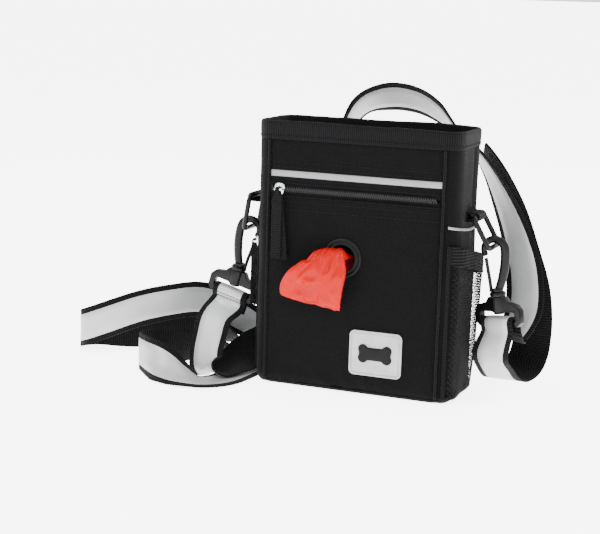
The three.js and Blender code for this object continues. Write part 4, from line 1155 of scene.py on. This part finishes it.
def make_patch():
    """A moulded badge with a raised rim, a sewn channel and a plain bone in relief."""
    cx, cz, w, h = 21.5, 33.2, 20.5, 17.0
    rings = []
    for inset, y in ((0.0, -0.2), (0.0, -1.1), (0.4, -1.55), (1.2, -1.6), (1.5, -1.2), (2.1, -1.15),
                     (2.4, -1.45), (8, -1.5), (16.5, -1.5)):
        line = rounded(cx - w + inset, cx + w - inset, cz - h + min(inset, 16.4), cz + h - min(inset, 16.4),
                       max(4 - inset, 0.3))
        rings.append([Vector((x, y - 31.6, z)) * MM for x, z in line])
    made = sweep("badge_plate", rings, PATCH)
    line = rounded(cx - w + 1.8, cx + w - 1.8, cz - h + 1.8, cz + h - 1.8, 2.4)
    seam = [Vector((x, -32.85, z)) * MM for x, z in line + line[:1]]
    thread = stitches("badge_thread", seam, FORWARD, 1.9 * MM, 0.9 * MM)
    thread.data.materials[0] = PATCH
    dress(join("badge_plate", [made, thread]), "root", "patch_rubber", "patch")
    bone = bone_outline()
    rings = []
    for grow, y in ((1.0, -32.95), (1.0, -33.5), (0.97, -33.8), (0.88, -33.95), (0.3, -34.0)):
        rings.append([Vector((cx + x * grow, y, cz + z * grow)) * MM for x, z in bone])
    dress(sweep("bone_relief", rings, EMBLEM), "root", "patch_rubber", "patch_emblem")


def bone_outline():
    """A dog-bone outline: two knobs at each end joined by a waisted bar."""
    points = []
    for sx, sz, first, last in ((1, -1, -155, 35), (1, 1, -35, 155), (-1, 1, 25, 215), (-1, -1, 145, 335)):
        for k in range(13):
            turn = math.radians(first + (last - first) * k / 12)
            points.append((9.4 * sx + 3.8 * math.cos(turn), 3.3 * sz + 3.8 * math.sin(turn)))
    return points


# ---------- sides: trim, zip, mesh pocket, tabs ----------
def make_side_trim():
    """A reflective cord across the right gusset, sagging a little to the rear."""
    line = gusset_points(1)
    total = line[-1][2]
    section = ((-0.4, -1.0), (0.1, -1.0), (0.4, -0.7), (0.5, 0), (0.4, 0.7), (0.1, 1.0), (-0.4, 1.0))
    rings = []
    for at, normal, run in line[4:-4]:
        z = 0.1335 - 0.006 * (run / total) - 0.002 * math.sin(math.pi * run / total)
        point = gusset_point(at, normal, run, total, z) + normal * (0.5 * MM)
        rings.append([point + Vector((0, 0, b * MM)) + normal * (a * MM) for a, b in section])
    made = sweep("side_reflective_tape", rings, REFLECT_PAINTED_SHADE)
    dress(made, "root", "reflective_tape", "side_reflective_trim")


def make_side_zip():
    def place(s, t):
        y, z = -0.020 + 0.012 * s, 0.012 + 0.1005 * t
        return Vector((-0.0797 + ripple((0, y, z), 0.02, 0.3 * MM, 3), y, z)), (z, y)

    tape = cloth("side_zip_cloth", 6, 60, place, TAPE, 0.5 * MM, None, Vector((-1, 0, 0)))
    dress(tape, "root", "zip_nylon", "side_zip_tape")
    welts = []
    for y in (-0.0203, -0.0077):
        points = [(-0.0799, y + ripple((y, 0, k), 6, 0.3 * MM, 2), 0.010 + 0.104 * k / 59) for k in range(60)]
        welts.append(tube(f"side_welt_{len(welts)}", points, (1.0 * MM, 1.3 * MM), CLOTH))
    dress(join("side_zip_welts", welts), "root", "shell_fabric")
    dress(teeth("side_zip_teeth", (-0.0803, -0.014, 0.062), (0, 0, 1), (-1, 0, 0), 0.1), "root", "zip_nylon",
          "side_zip_coil")
    make_slider("side_slider_body", "side_zip_slider", SIDE_SLIDER, 90)
    make_puller("side_pull_web", "side_zip_puller", SIDE_SLIDER, 90, 7, 50, -4)


POCKET_BULGE = 8 * MM
POCKET_STAND = 2.3 * MM


def gusset_x(y):
    past = max(abs(y) - CORNER_Y, 0) / (HALF_DEPTH - CORNER_Y)
    return SEAM_X + (HALF_WIDTH - SEAM_X) * math.sqrt(max(1 - past * past, 0))


def pocket_point(t, z, lift=0.0):
    y = -HALF_DEPTH + 0.001 + (2 * HALF_DEPTH - 0.002) * t
    fill = math.sin(math.pi * t) ** 0.6 if 0 < t < 1 else 0.0
    tall = min(1.0, max(z - 0.006, 0) / 0.085) ** 0.8
    sway = ripple((0.08, y, z), 0.02, 1.1 * MM, 7) * fill
    x = gusset_x(y) + POCKET_STAND + POCKET_BULGE * fill * tall * (0.55 + 0.45 * t) + sway + lift
    return Vector((x - tuck(z), y, z))


def band_low(t):
    return 0.105 - 0.014 * t


def make_mesh_pocket():
    """Knitted net: open diamonds of yarn over the gusset, bound at both sides and hemmed."""
    columns, rows = 36, 48
    ids, verts = {}, []
    for i in range(columns + 1):
        for j in range(rows + 1):
            if (i + j) % 2 == 0:
                t = i / columns
                top = band_low(t) + 0.001
                ids[i, j] = len(verts)
                verts.append(pocket_point(t, 0.003 + (top - 0.003) * j / rows))
    faces = []
    for i in range(1, columns):
        for j in range(1, rows):
            if (i + j) % 2:
                faces.append((ids[i - 1, j], ids[i, j - 1], ids[i + 1, j], ids[i, j + 1]))
    net = make("mesh_pocket_net", verts, faces, NET)
    yarn = net.modifiers.new("yarn", "WIREFRAME")
    yarn.thickness = 0.5 * MM
    yarn.use_even_offset = False
    dress(settle(net), "root", "mesh_fabric", "mesh_pocket")
    for name, t in (("front", 0.0), ("rear", 1.0)):
        points = [pocket_point(t, 0.004 + (band_low(t) + 0.010) * k / 60, -0.4 * MM) for k in range(61)]
        bead = tube(f"mesh_pocket_{name}_binding", points, (1.5 * MM, 1.0 * MM), BINDING)
        dress(bead, "root", "grosgrain")
    foot = [pocket_point(k / 60, 0.0052, -0.3 * MM) for k in range(61)]
    hem = tube("mesh_pocket_hem", foot, (1.0 * MM, 1.6 * MM), BINDING, 10, (0, 0, 1))
    dress(hem, "root", "grosgrain")


def make_band():
    """Elastic gathered along the pocket's mouth, thicker at its rolled edges."""
    def place(s, t):
        z = band_low(s) + 0.014 * t
        roll = 0.4 * MM * (1 if t < 0.12 or t > 0.88 else 0)
        gather = 0.35 * MM * noise.noise(Vector((s * 30, t * 1.5, 2)))
        return pocket_point(s, z, 0.9 * MM + roll + gather), (s * 0.085, z)

    made = cloth("mesh_pocket_elastic", 110, 16, place, ELASTIC, 1.5 * MM, None, Vector((1, 0, 0)))
    dress(made, "root", "grosgrain", "pocket_elastic_band")


def make_tab(name, place):
    """Webbing sewn to the gusset and folded round the ring's top bar."""
    out, half = place.out, 0.0098
    x, z = place.at.x * 1000, place.at.z * 1000
    wall_x = out * 79.6
    reach = 2.9
    path = [(wall_x, z - 3.0), (wall_x + out * 3, z - 3.0)]
    path += [(x + out * reach * math.sin(math.radians(a)), z - reach * math.cos(math.radians(a)))
             for a in range(0, 181, 20)]
    path += [(wall_x + out * 3, z + 3.0), (wall_x, z + 3.0)]
    path = smooth(path, 60)
    rings = []
    for k, (px, pz) in enumerate(path):
        before, after = neighbours(path, k)
        along = Vector((after[0] - before[0], 0, after[1] - before[1])).normalized()
        normal = along.cross(Vector((0, 1, 0)))
        ring = []
        for s, n in ((-1, 0), (-0.96, 0.45), (0, 0.5), (0.96, 0.45),
                     (1, 0), (0.96, -0.45), (0, -0.5), (-0.96, -0.45)):
            ring.append(Vector((px * MM, place.at.y + s * half, pz * MM)) + normal * (n * 1.4 * MM))
        rings.append(ring)
    made = sweep(name, rings, WEBBING)
    rows = []
    for k, dx in enumerate((2.2, 3.2)):
        ends = [Vector(((wall_x + out * dx) * MM, place.at.y + y, (z + 3.75) * MM)) for y in (-half, half)]
        rows.append(stitches(f"{name}_row_{k}", ends, Vector((0, 0, 1)), 1.8 * MM, 0.5 * MM))
    return join(name, [made, *rows])


# ---------- rings, hooks and swivels ----------
def place_mesh(made, matrix):
    made.data.transform(matrix)
    return made


def make_ring(side, place):
    points = [(0, y, z) for y, z in rounded(-RING_HALF, RING_HALF, -RING_DROP, 0, RING_CORNER, 8)]
    made = tube(f"{side}_webbing_ring", points, 1.9 * MM, PLASTIC, 16, (1, 0, 0), True)
    dress(place_mesh(made, place.ring), f"{side}_ring", "hardware_plastic", f"{side}_ring")


def make_hook(side, place):
    """The swivel hook: a round arch over the ring, a heavy arm, and a collar and shank."""
    out = place.out
    rows = []
    for k in range(10):
        turn = math.radians(-25 + 205 * k / 9)
        reach, wire = 7.4 + 0.8 * k / 9, 2.1 + 1.3 * k / 9
        rows.append((-out * reach * math.cos(turn), -2.5 + reach * math.sin(turn), wire, 2.6))
    for x, z, r in ((7.8, -10, 3.5), (6.2, -18, 3.5), (3.7, -26, 3.3), (1.2, -32, 3.2), (0, -35, 3.2)):
        rows.append((out * x, z, r, 2.6))
    rows = smooth(rows, 90)
    rings = tube_rings([(r[0] * MM, 0, r[1] * MM) for r in rows], [(r[2] * MM, r[3] * MM) for r in rows], 20)
    tip, lip = rings[0], []
    middle = sum(tip, Vector()) / len(tip)
    outward = (middle - sum(rings[1], Vector()) / len(tip)).normalized()
    for grow, lift in ((0.35, 1.0), (0.75, 0.7)):
        lip.append([middle + (p - middle) * grow + outward * (lift * MM) for p in tip])
    arch = sweep(f"{side}_hook_arch", lip + rings, PLASTIC)
    turned = {"shank": ((0.05, -33.2), (4.4, -33.4), (5.6, -34.0), (6.0, -34.7), (6.0, -36.2), (5.6, -36.9),
                        (2.4, -37.1), (2.4, -48.6), (4.2, -48.7), (4.2, -49.8), (3.6, -50.2), (0.05, -50.2)),
              "ridge": ((2.5, -31.0), (4.3, -31.4), (4.5, -32.2), (4.3, -33.2), (2.5, -33.4))}
    parts = [arch]
    for name, profile in turned.items():
        parts.append(lathe(f"{side}_hook_{name}", profile, (0, 0, 0), (0, 0, 1), PLASTIC, 40))
    made = join(f"{side}_hook_body", parts)
    dress(place_mesh(made, place.hook), f"{side}_hook", "hardware_plastic", f"{side}_hook")


def make_gate(side, place):
    out = place.out
    path = smooth([(-out * 4.7, -33.4), (-out * 5.0, -26), (-out * 5.8, -17), (-out * 6.5, -8.2)], 30)
    points = [(x * MM, 0, z * MM) for x, z in path]
    made = tube(f"{side}_gate_tongue", points, (1.25 * MM, 2.2 * MM), PLASTIC, 16)
    dress(place_mesh(made, place.hook), f"{side}_gate", "hardware_plastic", f"{side}_hook_gate")


def refined(name, node, material, bevel, body, slot):
    """A moulded piece: the CAD shape with its edges rounded as the moulding's are."""
    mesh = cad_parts[node].data.copy()
    made = bpy.data.objects.new(name, mesh)
    bpy.context.scene.collection.objects.link(made)
    for key in list(made.keys()):
        del made[key]
    mesh.materials.clear()
    mesh.materials.append(material)
    work = bmesh.new()
    work.from_mesh(mesh)
    bmesh.ops.remove_doubles(work, verts=work.verts, dist=1e-6)
    bmesh.ops.dissolve_limit(work, angle_limit=math.radians(2), verts=work.verts, edges=work.edges)
    work.to_mesh(mesh)
    work.free()
    rounding = made.modifiers.new("bevel", "BEVEL")
    rounding.width = bevel
    rounding.segments = 3
    rounding.limit_method = "ANGLE"
    rounding.angle_limit = math.radians(38)
    rounding.harden_normals = False
    settle(made)
    made.data.shade_smooth()
    made.data.set_sharp_from_angle(angle=math.radians(35))
    return dress(made, body, slot, node)


def make_hardware():
    for side, place in (("left", LEFT), ("right", RIGHT)):
        tab = make_tab(f"{side}_tab_webbing", place)
        dress(tab, "root", "webbing", f"{side}_ring_tab")
        make_ring(side, place)
        make_hook(side, place)
        make_gate(side, place)
        refined(f"{side}_swivel_plate", f"{side}_swivel_base", PLASTIC, 1.1 * MM, f"{side}_swivel",
                "hardware_plastic")
    refined("strap_slide_adjuster", "strap_tri_glide", PLASTIC, 0.7 * MM, "root", "hardware_plastic")


def make_magnets():
    profile = [(0.01, 0.2), (2.2, 0.25), (2.4, 1.4), (3.2, 1.7), (5.9, 1.7), (6.8, 1.2), (7.0, 0.4),
               (6.6, 0.05), (0.01, 0.05)]
    for name, y, sign in (("front", -MAGNET_Y, 1), ("back", MAGNET_Y, -1)):
        made = lathe(f"{name}_snap_disc", profile, (0, y, MAGNET_Z), (0, sign, 0), MAGNET, 40)
        dress(made, "root", "magnet_metal", f"{name}_magnet")


make_walls()
make_rim()
make_lining()
make_divider()
make_strip()
make_front_zip()
make_grommet()
make_roll()
make_bag_end()
make_patch()
make_side_trim()
make_side_zip()
make_mesh_pocket()
make_band()
make_hardware()
make_magnets()


# ---------- floor and light ----------
def make_stage():
    stage = Paint("studio_floor", (0.93, 0.93, 0.93), 0.7, specular=0.3)
    stage.vary(stage.noise(0.4, 2), 0.985, 1.0)
    stage.set({"Emission Color": (1, 1, 1, 1), "Emission Strength": FLOOR_GLOW})
    corners = [(x * FLOOR_REACH, y * FLOOR_REACH, 0) for x, y in ((-1, -1), (1, -1), (1, 1), (-1, 1))]
    floor = make("studio_floor", corners, [(0, 1, 2, 3)], stage.material)
    world = bpy.data.worlds.new("studio")
    bpy.context.scene.world = world
    world.use_nodes = True
    stage.set({"Color": (1, 1, 1, 1), "Strength": SKY_GLOW}, world.node_tree.nodes["Background"])
    for name, at, size, watts in (("key", (-0.9, -1.3, 1.5), 1.1, 40), ("fill", (1.3, -1.0, 0.9), 1.2, 16),
                                  ("top", (0.1, 0.3, 1.8), 1.4, 16), ("rim", (0.8, 1.2, 0.8), 0.8, 8)):
        light = bpy.data.lights.new(name, "AREA")
        light.energy = watts
        light.size = size
        lamp = bpy.data.objects.new(name, light)
        bpy.context.scene.collection.objects.link(lamp)
        lamp.location = at
        lamp.rotation_mode = "QUATERNION"
        lamp.rotation_quaternion = (Vector((0, 0, 0.1)) - Vector(at)).to_track_quat("-Z", "Y")


make_stage()
